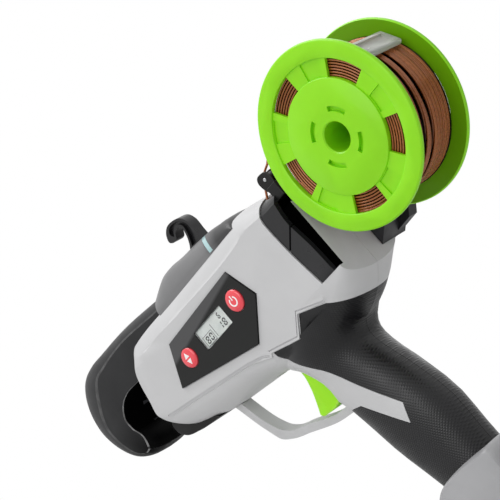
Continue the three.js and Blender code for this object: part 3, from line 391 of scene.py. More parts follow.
def turned(profile: Sequence[Point], centre: Point, steps: int = 64, closed: bool = False) -> BMesh:
    """Turns a profile about an axis that runs along Y.

    Args:
        profile: Points of radius and Y.
        centre: The X and Z of the axis.
        steps: The number of steps in a full turn.
        closed: Whether the profile closes on itself away from the axis.

    Returns:
        The solid.
    """
    work = bmesh.new()
    verts = [work.verts.new((centre[0] + radius, y, centre[1])) for radius, y in profile]
    pairs = list(zip(verts, verts[1:]))
    if closed:
        pairs.append((verts[-1], verts[0]))
    edges = [work.edges.new(pair) for pair in pairs]
    bmesh.ops.spin(
        work, geom=verts + edges, cent=(centre[0], 0, centre[1]), axis=(0, 1, 0), dvec=(0, 0, 0),
        angle=FULL_TURN, steps=steps, use_merge=True, use_duplicate=False,
    )
    bmesh.ops.remove_doubles(work, verts=work.verts, dist=WELD)
    bmesh.ops.recalc_face_normals(work, faces=work.faces)
    return work


def rod(radius: float, near: float, far: float, centre: Point, steps: int = 32) -> BMesh:
    """Makes a plain round bar along Y, from one Y to another."""
    return turned([(0, near), (radius, near), (radius, far), (0, far)], centre, steps)


def in_scene(name: str, data: bpy.types.ID) -> bpy.types.Object:
    """Puts data in the scene as an object."""
    item = bpy.data.objects.new(name, data)
    bpy.context.scene.collection.objects.link(item)
    return item


def read_back(holder: bpy.types.Object) -> BMesh:
    """Reads the shape of an object as its modifiers and curves leave it, and removes the object.

    Args:
        holder: The object, whose data stays.

    Returns:
        The shape.
    """
    mesh = bpy.data.meshes.new_from_object(holder.evaluated_get(bpy.context.evaluated_depsgraph_get()))
    work = bmesh.new()
    work.from_mesh(mesh)
    bpy.data.batch_remove([holder, mesh])
    return work


def strand(points: Sequence[Vector], radius: float) -> BMesh:
    """Draws a round wire along an open line.

    Args:
        points: The line.
        radius: The wire's radius.

    Returns:
        The wire as a solid.
    """
    curve = bpy.data.curves.new("wire_line", "CURVE")
    curve.dimensions = "3D"
    curve.bevel_depth = radius
    curve.bevel_resolution = 1
    curve.use_fill_caps = True
    spline = curve.splines.new("POLY")
    spline.points.add(len(points) - 1)
    spline.points.foreach_set("co", [value for p in points for value in (*p, 1.0)])
    work = read_back(in_scene("wire_line", curve))
    bpy.data.curves.remove(curve)
    bmesh.ops.remove_doubles(work, verts=work.verts, dist=WIRE_WELD)
    bmesh.ops.recalc_face_normals(work, faces=work.faces)
    return work


def plausible(volume: float, first: float, second: float, how: Join) -> bool:
    """Says whether a volume can come out of two solids.

    Args:
        volume: The volume that came out.
        first: The volume of the solid that was worked.
        second: The volume of the tool.
        how: What the tool did.

    Returns:
        Whether it can.
    """
    low, high = {
        Join.CUT: (first - second, first),
        Join.ADD: (max(first, second), first + second),
        Join.MEET: (0.0, min(first, second)),
    }[how]
    slack = first * VOLUME_SLACK
    return volume > first * LEAST_SHARE and low - slack <= volume <= high + slack


def worked(first: BMesh, second: BMesh, how: Join) -> BMesh:
    """Cuts, joins or meets two solids. Both are used up.

    About one try in 40 loses the solid by chance, so its volume is checked and it is worked again.

    Args:
        first: The solid that is worked.
        second: The tool.
        how: What the tool does.

    Returns:
        The solid that comes out.
    """
    meshes, volumes = [], []
    for solid in (first, second):
        bmesh.ops.triangulate(solid, faces=[face for face in solid.faces if len(face.verts) > 4])
        meshes.append(bpy.data.meshes.new("blank"))
        volumes.append(solid.calc_volume())
        solid.to_mesh(meshes[-1])
        solid.free()
    for left in reversed(range(TRIES)):
        blank, tool = [in_scene("blank", mesh) for mesh in meshes]
        step = blank.modifiers.new("step", "BOOLEAN")
        step.operation = how.value
        step.solver = "EXACT"
        step.object = tool
        work = read_back(blank)
        bpy.data.objects.remove(tool)
        bmesh.ops.remove_doubles(work, verts=work.verts, dist=WELD)
        bmesh.ops.dissolve_degenerate(work, edges=work.edges, dist=WELD)
        bmesh.ops.dissolve_limit(
            work, angle_limit=FLAT, use_dissolve_boundaries=False, verts=work.verts, edges=work.edges,
        )
        volume = work.calc_volume()
        if plausible(volume, *volumes, how):
            break
        log.warning("%s of %.0f and %.0f gave %.0f, %d tries left", how.name, *volumes, volume, left)
        if left:
            work.free()
    bpy.data.batch_remove(meshes)
    return work


def cut(first: BMesh, *tools: BMesh) -> BMesh:
    """Cuts each tool out of a solid."""
    for tool in tools:
        first = worked(first, tool, Join.CUT)
    return first


def joined(first: BMesh, *others: BMesh) -> BMesh:
    """Joins solids into one."""
    for other in others:
        first = worked(first, other, Join.ADD)
    return first


def met(first: BMesh, *others: BMesh) -> BMesh:
    """Keeps what solids share."""
    for other in others:
        first = worked(first, other, Join.MEET)
    return first


def packed(*solids: BMesh) -> BMesh:
    """Puts solids that don't touch in one mesh. They are used up.

    Args:
        *solids: The solids.

    Returns:
        One mesh that holds them all.
    """
    work = bmesh.new()
    for solid in solids:
        mesh = bpy.data.meshes.new("part")
        solid.to_mesh(mesh)
        solid.free()
        work.from_mesh(mesh)
        bpy.data.meshes.remove(mesh)
    return work


def halved(solid: BMesh, side: Side, gap: float) -> BMesh:
    """Keeps one side of a solid and closes its face.

    Args:
        solid: The whole solid, which stays as it is.
        side: The side that is kept.
        gap: The distance between the two halves.

    Returns:
        The half.
    """
    work = solid.copy()
    sliced = bmesh.ops.bisect_plane(
        work, geom=work.verts[:] + work.edges[:] + work.faces[:], dist=SLICE_SLACK,
        plane_co=(0, side.value * gap / 2, 0), plane_no=(0, -side.value, 0), clear_outer=True,
    )
    rim = [item for item in sliced["geom_cut"] if isinstance(item, BMEdge)]
    bmesh.ops.triangle_fill(work, use_beauty=True, use_dissolve=False, edges=rim)
    bmesh.ops.recalc_face_normals(work, faces=work.faces)
    return work


def bevelled(work: BMesh, edges: Sequence[BMEdge], width: float, segments: int) -> list[BMFace]:
    """Bevels some edges of a solid.

    Args:
        work: The solid.
        edges: The edges.
        width: The width of the bevel.
        segments: The number of faces across it.

    Returns:
        The new faces.
    """
    return bmesh.ops.bevel(
        work, geom=edges, offset=width, offset_type="OFFSET", segments=segments, profile=0.5,
        affect="EDGES", clamp_overlap=True, material=-1,
    )["faces"]


def face_mark(work: BMesh, name: str) -> bmesh.types.BMLayerItem:
    """Finds the layer of a mark on the faces, or adds it."""
    return work.faces.layers.float.get(name) or work.faces.layers.float.new(name)


def chamfered(work: BMesh, width: float, angle: float = 38.0, segments: int = 1) -> BMesh:
    """Breaks the sharp edges of a solid and marks the new faces, which the finishes show as rubbed wear and,
    on the nose, also as a painted highlight.

    Args:
        work: The solid.
        width: The width of the chamfer.
        angle: The least angle in degrees between two faces that counts as sharp.
        segments: The number of faces across the chamfer.

    Returns:
        The same solid.
    """
    limit, shortest = math.radians(angle), width * SHORTEST_EDGE
    work.edges.index_update()
    # A new layer makes hold of an edge invalid, so the edges are found again by their index
    places = [
        edge.index for edge in work.edges
        if len(edge.link_faces) == 2 and edge.calc_face_angle(0.0) > limit and edge.calc_length() > shortest
    ]
    if not places:
        return work
    mark = face_mark(work, EDGE_MARK)
    work.edges.ensure_lookup_table()
    for face in bevelled(work, [work.edges[place] for place in places], width, segments):
        face[mark] = 1.0
    return work


def painted_shade_on(work: BMesh, share: Callable[[Vector, Vector], float]) -> BMesh:
    """Paints shade, through a face mark, on the faces of a solid that lie in its depth and get no light.

    Args:
        work: The solid.
        share: Gives the painted shade of a face from its middle and its normal.

    Returns:
        The same solid.
    """
    mark = face_mark(work, PAINTED_SHADE_MARK)
    work.normal_update()
    for face in work.faces:
        face[mark] = share(face.calc_center_median(), face.normal)
    return work


# Finishes


def tint(code: str) -> tuple[float, float, float, float]:
    """Turns a colour code into the shader's linear values.

    Args:
        code: Six hexadecimal digits after a hash sign.

    Returns:
        Red, green, blue and alpha.
    """
    values = [int(code[i:i + 2], 16) / 255 for i in (1, 3, 5)]
    linear = [v / 12.92 if v <= 0.04045 else ((v + 0.055) / 1.055) ** 2.4 for v in values]
    return (linear[0], linear[1], linear[2], 1.0)


@dataclass(frozen=True)
class Fade:
    """A change that comes in along one direction, with the tone that it brings, if any. On the plastics the
    tone is a painted shade or a painted sheen, as each finish sets it; on the rubber the change fades the
    ribs in.
    """

    direction: Triple
    start: float
    end: float
    colour: str = ""


def settle(node: bpy.types.Node, values: dict[str, object]) -> None:
    """Sets inputs of a shader node to fixed values."""
    for name, value in values.items():
        node.inputs[name].default_value = value


class Bench:
    """Lays out the shader nodes of one finish."""

    def __init__(self, name: str) -> None:
        """Starts a material with a bare shader."""
        self.material = bpy.data.materials.new(name)
        self.material.use_nodes = True
        self.tree = self.material.node_tree
        self.shader = self.tree.nodes["Principled BSDF"]
        self.place = self.node("ShaderNodeTexCoord").outputs["Object"]

    def node(self, kind: str, **settings: object) -> bpy.types.Node:
        """Adds one node.

        Args:
            kind: The node's type.
            **settings: Values for its properties.

        Returns:
            The node.
        """
        made = self.tree.nodes.new(kind)
        for name, value in settings.items():
            setattr(made, name, value)
        return made

    def link(self, source: Socket, target: Socket) -> None:
        """Joins two sockets."""
        self.tree.links.new(source, target)

    def feed(self, source: Socket, name: str) -> None:
        """Lets a socket drive one input of the shader."""
        self.link(source, self.shader.inputs[name])

    def stretched(self, scale: Sequence[float], turn: Sequence[float] = (0, 0, 0)) -> Socket:
        """Stretches and turns the object's own coordinates.

        Args:
            scale: The factor along each axis.
            turn: The angles in degrees.

        Returns:
            The socket of the new coordinates.
        """
        mapping = self.node("ShaderNodeMapping")
        settle(mapping, {"Scale": scale, "Rotation": [math.radians(a) for a in turn]})
        self.link(self.place, mapping.inputs["Vector"])
        return mapping.outputs["Vector"]

    def noise(
        self, size: float, detail: float = 3.0, roughness: float = 0.55, place: Optional[Socket] = None,
    ) -> Socket:
        """Adds a cloudy pattern.

        Args:
            size: The size of one cloud in millimetres.
            detail: How many finer layers it has.
            roughness: How strong the finer layers are.
            place: The coordinates; the object's own, if left out.

        Returns:
            The socket of the pattern.
        """
        made = self.node("ShaderNodeTexNoise")
        settle(made, {"Scale": 1 / (size * MM), "Detail": detail, "Roughness": roughness})
        self.link(place or self.place, made.inputs["Vector"])
        return made.outputs["Fac"]

    def ranged(self, source: Socket, low: float, high: float, start: float = 0.0, end: float = 1.0) -> Socket:
        """Spreads a value over a range.

        Args:
            source: The value.
            low: What the start of the value becomes.
            high: What its end becomes.
            start: The start of the value.
            end: Its end.

        Returns:
            The socket of the result.
        """
        made = self.node("ShaderNodeMapRange")
        settle(made, {"From Min": start, "From Max": end, "To Min": low, "To Max": high})
        self.link(source, made.inputs["Value"])
        return made.outputs["Result"]

    def product(self, first: Socket, second: Socket) -> Socket:
        """Multiplies two patterns.

        Args:
            first: One pattern.
            second: The other one.

        Returns:
            The socket of the product.
        """
        made = self.node("ShaderNodeMath", operation="MULTIPLY")
        self.link(first, made.inputs[0])
        self.link(second, made.inputs[1])
        return made.outputs[0]

    def mixed(self, share: Socket, first: object, second: object) -> Socket:
        """Mixes two colours.

        Args:
            share: How much of the second colour shows.
            first: A colour value or a socket.
            second: A colour value or a socket.

        Returns:
            The socket of the mixed colour.
        """
        made = self.node("ShaderNodeMix", data_type="RGBA")
        self.link(share, made.inputs[0])
        for socket, colour in ((made.inputs[6], first), (made.inputs[7], second)):
            if isinstance(colour, Socket):
                self.link(colour, socket)
            else:
                socket.default_value = colour
        return made.outputs[2]

    def clouded(self, pattern: Socket, tones: "Tones", start: float = 0.3, end: float = 0.7) -> Socket:
        """Mixes the two tones of a finish by a pattern.

        Args:
            pattern: The pattern.
            tones: The finish.
            start: Where in the pattern the second tone starts to show.
            end: Where it shows alone.

        Returns:
            The socket of the mixed colour.
        """
        return self.mixed(self.ranged(pattern, 0.0, 1.0, start, end), tint(tones.colour), tint(tones.second))

    def roughened(self, pattern: Socket, low: float, high: float) -> None:
        """Lets the middle range of a pattern set the roughness between two values."""
        self.feed(self.ranged(pattern, low, high, 0.3, 0.7), "Roughness")

    def worn_and_highlit_edges(self, size: float = 6.0) -> Socket:
        """Reads the marked edge faces, for rubbed wear and painted highlight, broken up by a pattern of a
        size in millimetres.
        """
        mark = self.node("ShaderNodeAttribute", attribute_name=EDGE_MARK)
        return self.product(mark.outputs["Fac"], self.ranged(self.noise(size, 4.0), 0.35, 1.0, 0.35, 0.65))

    def along(self, fade: Fade) -> Socket:
        """Reads how far a fade has come in.

        Args:
            fade: The fade, with its start and end in millimetres.

        Returns:
            The socket of its share.
        """
        made = self.node("ShaderNodeVectorMath", operation="DOT_PRODUCT")
        made.inputs[1].default_value = fade.direction
        self.link(self.place, made.inputs[0])
        return self.ranged(made.outputs["Value"], 0.0, 1.0, fade.start * MM, fade.end * MM)

    def painted_shade_share(self) -> Socket:
        """Reads the painted shade mark of the faces that lie deep and get little light."""
        return self.node("ShaderNodeAttribute", attribute_name=PAINTED_SHADE_MARK).outputs["Fac"]

    def dented(self, height: Socket, depth: float, strength: float = 1.0) -> None:
        """Raises the surface by a pattern, over any earlier one.

        Args:
            height: The pattern.
            depth: Its height in millimetres.
            strength: How much of it shows.
        """
        made = self.node("ShaderNodeBump")
        settle(made, {"Distance": depth * MM, "Strength": strength})
        self.link(height, made.inputs["Height"])
        normal = self.shader.inputs["Normal"]
        if normal.is_linked:
            self.link(normal.links[0].from_socket, made.inputs["Normal"])
        self.link(made.outputs["Normal"], normal)


@dataclass(frozen=True)
class Tones:
    """A finish in two close tones."""

    name: str
    colour: str
    second: str

    def make(self) -> bpy.types.Material:
        """Builds the material.

        Returns:
            The material.
        """
        bench = Bench(self.name)
        self.lay(bench)
        return bench.material

    def lay(self, bench: Bench) -> None:
        """Lays out the nodes that make the finish."""
        raise NotImplementedError


@dataclass(frozen=True)
class MouldedPlastic(Tones):
    """Moulded plastic with a fine grain, a faint mottle, rubbed edges, painted shade on marked faces and an
    optional painted fade of shade or sheen.
    """

    edge: str
    roughness: float = 0.42
    swing: float = 0.08
    grain: float = 0.5
    depth: float = 0.02
    mottle: float = 28.0
    edge_wear_and_highlight: float = 0.5
    specular: float = 0.5
    coat: float = 0.0
    coat_roughness: float = 0.12
    glow: float = 0.0
    # The colour of painted shade on faces marked as lying deep
    shade: str = "#020202"
    fade: Optional[Fade] = None

    def lay(self, bench: Bench) -> None:
        """Lays out the plastic.

        Args:
            bench: The bench of its nodes.
        """
        colour = bench.clouded(bench.noise(self.mottle, 4.0), self, 0.32, 0.68)
        # Painted light: the fade lays a painted shade or a painted sheen across the part, as each finish sets
        # it
        if self.fade:
            colour = bench.mixed(bench.along(self.fade), colour, tint(self.fade.colour))
        # Rubbed wear on the chamfered edges; on the nose the same mark also paints highlight lines
        edge_wear_and_highlight = bench.ranged(bench.worn_and_highlit_edges(), 0.0, self.edge_wear_and_highlight)
        colour = bench.mixed(edge_wear_and_highlight, colour, tint(self.edge))
        # Painted shade: marked faces darken toward the shade colour and lose their gloss
        deep = bench.painted_shade_share()
        bench.feed(bench.mixed(deep, colour, tint(self.shade)), "Base Color")
        bench.feed(bench.ranged(deep, self.specular, 0.0), "Specular IOR Level")
        smudges = bench.noise(self.mottle * 0.4, 5.0, 0.65)
        bench.roughened(smudges, self.roughness - self.swing, self.roughness + self.swing)
        settle(bench.shader, {"Coat Weight": self.coat, "Coat Roughness": self.coat_roughness})
        if self.glow:
            settle(bench.shader, {
                "Subsurface Weight": self.glow, "Subsurface Radius": (0.4, 1.0, 0.2),
                "Subsurface Scale": 0.002,
            })
        bench.dented(bench.noise(self.grain, 2.0), self.depth, 0.6)


@dataclass(frozen=True)
class WovenRubber(Tones):
    """Soft rubber with fine diagonal ribs both ways."""

    fade: Fade
    edge: str = "#4c4c50"
    slant: float = 38.0
    pitch: float = 1.25
    depth: float = 0.14
    roughness: float = 0.36
    specular: float = 0.42

    def lay(self, bench: Bench) -> None:
        """Lays out the rubber, with ribs that come in along the fade.

        Args:
            bench: The bench of its nodes.
        """
        ribs = []
        for turn in (self.slant, -self.slant):
            wave = bench.node("ShaderNodeTexWave", wave_type="BANDS", bands_direction="X", wave_profile="SIN")
            settle(wave, {"Scale": FULL_TURN / (20 * self.pitch * MM), "Distortion": 0.0})
            bench.link(bench.stretched((1, 0.0, 1), (0, turn, 0)), wave.inputs["Vector"])
            ribs.append(wave.outputs["Fac"])
        weave = bench.product(bench.product(ribs[0], ribs[1]), bench.along(self.fade))
        colour = bench.clouded(bench.noise(22.0, 4.0), self)
        worn = bench.ranged(bench.worn_and_highlit_edges(5.0), 0.0, 0.5)
        bench.feed(bench.mixed(worn, colour, tint(self.edge)), "Base Color")
        bench.roughened(bench.noise(9.0, 5.0), self.roughness - 0.07, self.roughness + 0.09)
        settle(bench.shader, {"Specular IOR Level": self.specular})
        bench.dented(weave, self.depth, 0.8)
        bench.dented(bench.noise(0.4, 2.0), 0.01, 0.5)


@dataclass(frozen=True)
class DrawnMetal(Tones):
    """Metal with fine streaks from how it was drawn or turned."""

    roughness: float = 0.32
    streak: Triple = (1.0, 0.05, 1.0)

    def lay(self, bench: Bench) -> None:
        """Lays out the metal.

        Args:
            bench: The bench of its nodes.
        """
        streaks = bench.noise(0.5, 4.0, 0.6, bench.stretched(self.streak))
        bench.feed(bench.clouded(bench.noise(7.0, 4.0), self), "Base Color")
        bench.roughened(streaks, self.roughness - 0.1, self.roughness + 0.12)
        settle(bench.shader, {"Metallic": 1.0})
        bench.dented(streaks, 0.012, 0.5)


@dataclass(frozen=True)
class EnamelledWire(Tones):
    """Soft wire in a thin glossy coat that differs a little from turn to turn, with painted shade where the
    turns lie in furrows or under the outer layer.
    """

    roughness: float = 0.24
    metallic: float = 0.25
    coat_roughness: float = 0.18
    # The colour of the painted shade in the furrows and between the turns
    shade: str = "#160a05"

    def lay(self, bench: Bench) -> None:
        """Lays out the wire.

        Args:
            bench: The bench of its nodes.
        """
        turns = bench.noise(2.2, 3.0, 0.6, bench.stretched((0.05, 1.0, 0.05)))
        # Painted shade: marked wire darkens and loses its gloss and coat
        deep = bench.painted_shade_share()
        bench.feed(bench.mixed(deep, bench.clouded(turns, self), tint(self.shade)), "Base Color")
        bench.roughened(bench.noise(4.0, 4.0), self.roughness - 0.08, self.roughness + 0.1)
        bench.feed(bench.ranged(deep, 0.6, 0.1), "Specular IOR Level")
        bench.feed(bench.ranged(deep, 0.3, 0.0), "Coat Weight")
        settle(bench.shader, {"Metallic": self.metallic, "Coat Roughness": self.coat_roughness})
        bench.dented(bench.noise(0.7, 3.0), 0.02, 0.5)


@dataclass(frozen=True)
class ClearPlastic(Tones):
    """Clear or milky plastic, with faint flow lines."""

    roughness: float = 0.12
    clear: float = 0.9
    ior: float = 1.46

    def lay(self, bench: Bench) -> None:
        """Lays out the plastic.

        Args:
            bench: The bench of its nodes.
        """
        flow = bench.noise(5.0, 4.0, 0.6, bench.stretched((1.0, 0.3, 1.0)))
        bench.feed(bench.clouded(flow, self), "Base Color")
        bench.roughened(flow, self.roughness * 0.7, self.roughness * 1.4)
        settle(bench.shader, {"Transmission Weight": self.clear, "IOR": self.ior})
        bench.dented(bench.noise(1.5, 3.0), 0.01, 0.4)


@dataclass(frozen=True)
class Print(Tones):
    """Thin ink or a lit face, slightly uneven."""

    roughness: float = 0.45
    grain: float = 1.2
    lit: float = 0.0

    def lay(self, bench: Bench) -> None:
        """Lays out the print.

        Args:
            bench: The bench of its nodes.
        """
        colour = bench.clouded(bench.noise(self.grain * 5, 4.0), self)
        bench.feed(colour, "Base Color")
        smudges = bench.noise(self.grain * 3)
        bench.feed(bench.ranged(smudges, self.roughness - 0.06, self.roughness + 0.06), "Roughness")
        if self.lit:
            bench.feed(colour, "Emission Color")
            settle(bench.shader, {"Emission Strength": self.lit})
        bench.dented(bench.noise(self.grain, 2.0), 0.01, 0.4)


@dataclass(frozen=True)
class CircuitBoard(Tones):
    """A green board with a faint net of tracks."""

    track: str

    def lay(self, bench: Bench) -> None:
        """Lays out the board.

        Args:
            bench: The bench of its nodes.
        """
        tracks = bench.node("ShaderNodeTexBrick", offset=0.5)
        settle(tracks, {
            "Scale": 260.0, "Mortar Size": 0.04, "Color1": tint(self.colour), "Color2": tint(self.second),
            "Mortar": tint(self.track),
        })
        bench.link(bench.stretched((1, 1, 1), (90, 0, 0)), tracks.inputs["Vector"])
        bench.feed(tracks.outputs["Color"], "Base Color")
        bench.feed(bench.ranged(bench.noise(3.0), 0.3, 0.5), "Roughness")
        bench.dented(tracks.outputs["Fac"], 0.03, 0.5)


class Finishes:
    """Every finish that the tool needs, made once."""

    def __init__(self) -> None:
        """Makes the materials."""
        self.shell = MouldedPlastic(
            "light_grey_plastic", "#c7c7c8", "#cccccd", "#e2e2e2", 0.42, 0.05, 0.6, 0.02,
            specular=0.35).make()
        # Painted light on the nose: the fade darkens its lower part as painted shade, the shade colour fills
        # the throat as painted shade, and the light edge colour shows as rubbed wear on chamfers and paints
        # highlight lines on the creases and the throat's rim
        self.nose = MouldedPlastic(
            "dark_satin_plastic", "#2b2b2c", "#313132", "#b4b4b4", 0.44, 0.06, 0.5, 0.03, edge_wear_and_highlight=0.8,
            specular=0.1, shade="#060606", fade=Fade((0.0, 0.0, -1.0), -216.0, -194.0, "#080809")).make()
        self.jaw = MouldedPlastic(
            "black_satin_plastic", "#101010", "#151515", "#3c3c3c", 0.42, 0.06, specular=0.25).make()
        # Painted light on the cover: its mid grey stands partly for a broad painted sheen on dark plastic,
        # and the fade darkens the tail behind the strip as painted shade
        self.cover = MouldedPlastic(
            "mid_grey_plastic", "#6f6f70", "#767677", "#a6a6a6", 0.42, 0.05,
            fade=Fade((-1.0, 0.0, 0.0), -20.0, -8.0, "#2a2a2b")).make()
        # Painted shade: a darker copy of the shell's grey, so the dock reads as less lit
        self.dock = MouldedPlastic(
            "shell_grey_painted_darker", "#a2a2a4", "#a8a8aa", "#c8c8c8", 0.42, 0.05, 0.6, 0.02, specular=0.35).make()
        self.strip = MouldedPlastic(
            "pale_teal_plastic", "#a4c6c8", "#aecdcf", "#d0e4e4", 0.25, 0.04, coat=0.4).make()
        # Painted reflection: the fade lightens a band along the bezel's upper edge as a sheen on the glossy
        # black
        self.bezel = MouldedPlastic(
            "gloss_black_plastic", "#0d0e0d", "#121312", "#4a4a4a", 0.2, 0.04, 0.8, 0.004, specular=0.26,
            fade=Fade((0.13, 0.0, 0.99), 219.0, 220.8, "#4c4c4d")).make()
        self.side_cover = MouldedPlastic(
            "dark_gloss_plastic", "#1c1c1d", "#242426", "#5c5c5e", 0.3, 0.05, 0.8, 0.008,
            specular=0.35).make()
        self.arm = MouldedPlastic(
            "graphite_plastic", "#1d1d1f", "#252528", "#55555a", 0.4, 0.06, specular=0.35).make()
        # The shade colour is painted shade on the flange faces that look at the wire
        self.lime = MouldedPlastic(
            "lime_plastic", "#8edc12", "#94e418", "#bdf55e", 0.34, 0.05, 0.9, 0.01, edge_wear_and_highlight=0.6, specular=0.35,
            glow=0.15, shade="#2c5200").make()
        # Painted light: a lighter copy of the lime plastic, so the trigger reads as lit more brightly than
        # the spool
        self.trigger = MouldedPlastic(
            "lime_plastic_painted_lighter", "#a6f41f", "#acf828", "#c9fa70", 0.34, 0.05, 0.9, 0.01, specular=0.35,
            glow=0.2).make()
        self.red = MouldedPlastic(
            "red_key_plastic", "#ee3f4c", "#f24a55", "#f9808a", 0.22, 0.04, 0.7, 0.006, coat=0.5).make()
        self.rubber = WovenRubber(
            "grip_rubber_weave", "#08080a", "#0d0d10", Fade((-0.35, 0, -0.94), -162, -146)).make()
        self.steel = DrawnMetal("brushed_steel", "#a8a9ac", "#b8b9bb").make()
        self.motor = DrawnMetal("motor_can_steel", "#8d8f92", "#9c9ea1", 0.38, (0.05, 1.0, 1.0)).make()
        self.brass = DrawnMetal("terminal_brass", "#c9a14a", "#b98f3e", 0.3).make()
        self.dark_steel = DrawnMetal("blackened_steel", "#2a2a2c", "#343437", 0.4).make()
        self.wire = EnamelledWire("brown_enamel_wire", "#b06228", "#8e4a1c").make()
        self.clip = ClearPlastic("milky_clip_plastic", "#d9dcd4", "#c9ccc4", 0.2, 0.45).make()
        self.window = ClearPlastic("clear_window", "#f4f6f6", "#ffffff", 0.05, 1.0, 1.2).make()
        self.lcd = Print("lcd_face", "#c7cbc8", "#cfd3d0", 0.3, 1.0, 0.15).make()
        self.ink = Print("lcd_ink", "#101211", "#181a19", 0.5).make()
        self.symbol = Print("white_key_print", "#f6f1f1", "#ffffff", 0.4).make()
        self.board = CircuitBoard("circuit_board", "#1d5a33", "#1a4f2e", "#3c7a4a").make()
        self.pack = MouldedPlastic(
            "black_pack_plastic", "#1e1f20", "#242526", "#48494a", 0.48, 0.06, 0.7, 0.04).make()
        self.cell = MouldedPlastic(
            "cell_sleeve", "#3a78b0", "#3570a6", "#6aa0cc", 0.3, 0.05, coat=0.3).make()


# Placing pieces


@dataclass(frozen=True)
class Ticket:
    """Where a finished piece belongs."""

    name: str
    body: str
    slot: str
    replaces: tuple[str, ...] = ()


def fitted(work: BMesh, ticket: Ticket, finish: bpy.types.Material, crease: float = 32.0) -> None:
    """Turns a solid into a finished piece in its place.

    Args:
        work: The solid in millimetres, which is used up.
        ticket: Where the piece belongs.
        finish: Its material.
        crease: The angle in degrees from which an edge shows sharp.
    """
    bmesh.ops.scale(work, vec=(MM, MM, MM), verts=work.verts)
    mesh = bpy.data.meshes.new(ticket.name)
    work.to_mesh(mesh)
    work.free()
    mesh.materials.append(finish)
    mesh.shade_smooth()
    mesh.set_sharp_from_angle(angle=math.radians(crease))
    piece = in_scene(ticket.name, mesh)
    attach(piece, ticket.body)
    if ticket.replaces:
        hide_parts(*ticket.replaces)
    log.info("%s: %d faces", ticket.name, len(mesh.polygons))


def dressed(node: str, finish: bpy.types.Material) -> None:
    """Gives a node of the frame a better material."""
    for place in frame["nodes"][node].material_slots:
        place.material = finish


# Shapes that several pieces share


@dataclass(frozen=True)
class BodyForm:
    """The form of the grey body, between the nose and the spool."""

    half: float = 24.4
    step: float = 1.6
    rounded_below: float = 188.0
    flat_above: float = 200.0
    least_flat: float = -1.0
    centre: tuple[Point, ...] = (
        (-48, 173), (-38, 165), (-22.9, 159), (-6, 158), (6, 158), (27.9, 162), (34, 164.3), (44, 167.4),
        (66, 170.9), (92, 174.8), (107, 178.4), (116, 182.1), (121.5, 188.8), (125, 198), (122.9, 212),
        (116, 234), (109.9, 240.5), (104, 242), (60, 242), (2, 242), (-8, 241), (-13.9, 240), (-24, 236.8),
        (-34, 234.4), (-45, 232.3), (-48, 229.5),
    )
    side: tuple[Point, ...] = (
        (-48, 181), (-36, 177.8), (-24, 174.2), (-6.1, 180.6), (3.9, 171.1), (25.4, 176.9), (27.1, 175),
        (44, 180.5), (66, 184.5), (95, 190), (110, 192.5), (118.8, 194.5), (122.9, 197), (124.8, 200),
        (122.9, 208.4), (112.9, 229), (108, 230.5), (104, 230), (60, 229.5), (-.4, 229), (-4.9, 229.5),
        (-12.5, 231), (-22.2, 230), (-32.4, 228.5), (-45, 227), (-48, 225.5),
    )
    flat: tuple[Point, ...] = (
        (-48, 187), (-36, 183), (-24, 174.8), (-6.1, 180.6), (3.9, 171.1), (25.4, 176.9), (27.1, 175),
        (44, 181.2), (66, 185.6), (95, 191.2), (108, 193.4), (113.5, 194.4), (115.6, 196), (115, 198.6),
        (110.5, 206.8), (101.5, 226.5), (98.5, 228.6), (94.5, 229), (60, 228.2), (-.4, 227.6), (-4.9, 227.9),
        (-12.5, 229.2), (-22.2, 228.4), (-32.4, 227), (-45, 225.8), (-48, 224.4),
    )
    bands: tuple[Triple, ...] = (
        (0, 0, 0), (.24, .03, .02), (.43, .11, .05), (.57, .2, .12), (.69, .306, .24), (.78, .428, .39),
        (.84, .525, .52), (.888, .632, .69), (.922, .738, .83), (.944, .845, .93), (.955, 1, 1),
    )

    def solid(self, extra: float = 0.0, inset: float = 0.5) -> BMesh:
        """Makes the whole body.

        Args:
            extra: How far every surface is moved outwards.
            inset: The width of the band that eases the side faces.

        Returns:
            The solid.
        """
        middle = Outline(self.centre, frozenset({0, 25}))
        edge = Outline(self.side, frozenset({0, 2, 3, 4, 5, 6, 25}))
        level = Outline(self.flat, frozenset({0, 2, 3, 4, 5, 6, 25}))
        counts = middle.counts(self.step)
        inner, outer, flat = middle.traced(counts), edge.traced(counts), level.traced(counts)
        if extra:
            inner, outer, flat = grown(inner, extra), grown(outer, extra), grown(flat, extra)
        span = self.flat_above - self.rounded_below
        lift = [min(1.0, max(0.0, (z - self.rounded_below) / span)) for _, z in inner]
        kept = flat if extra > self.least_flat else None
        return crowned(inner, outer, self.half + extra, self.bands, lift, inset, kept)


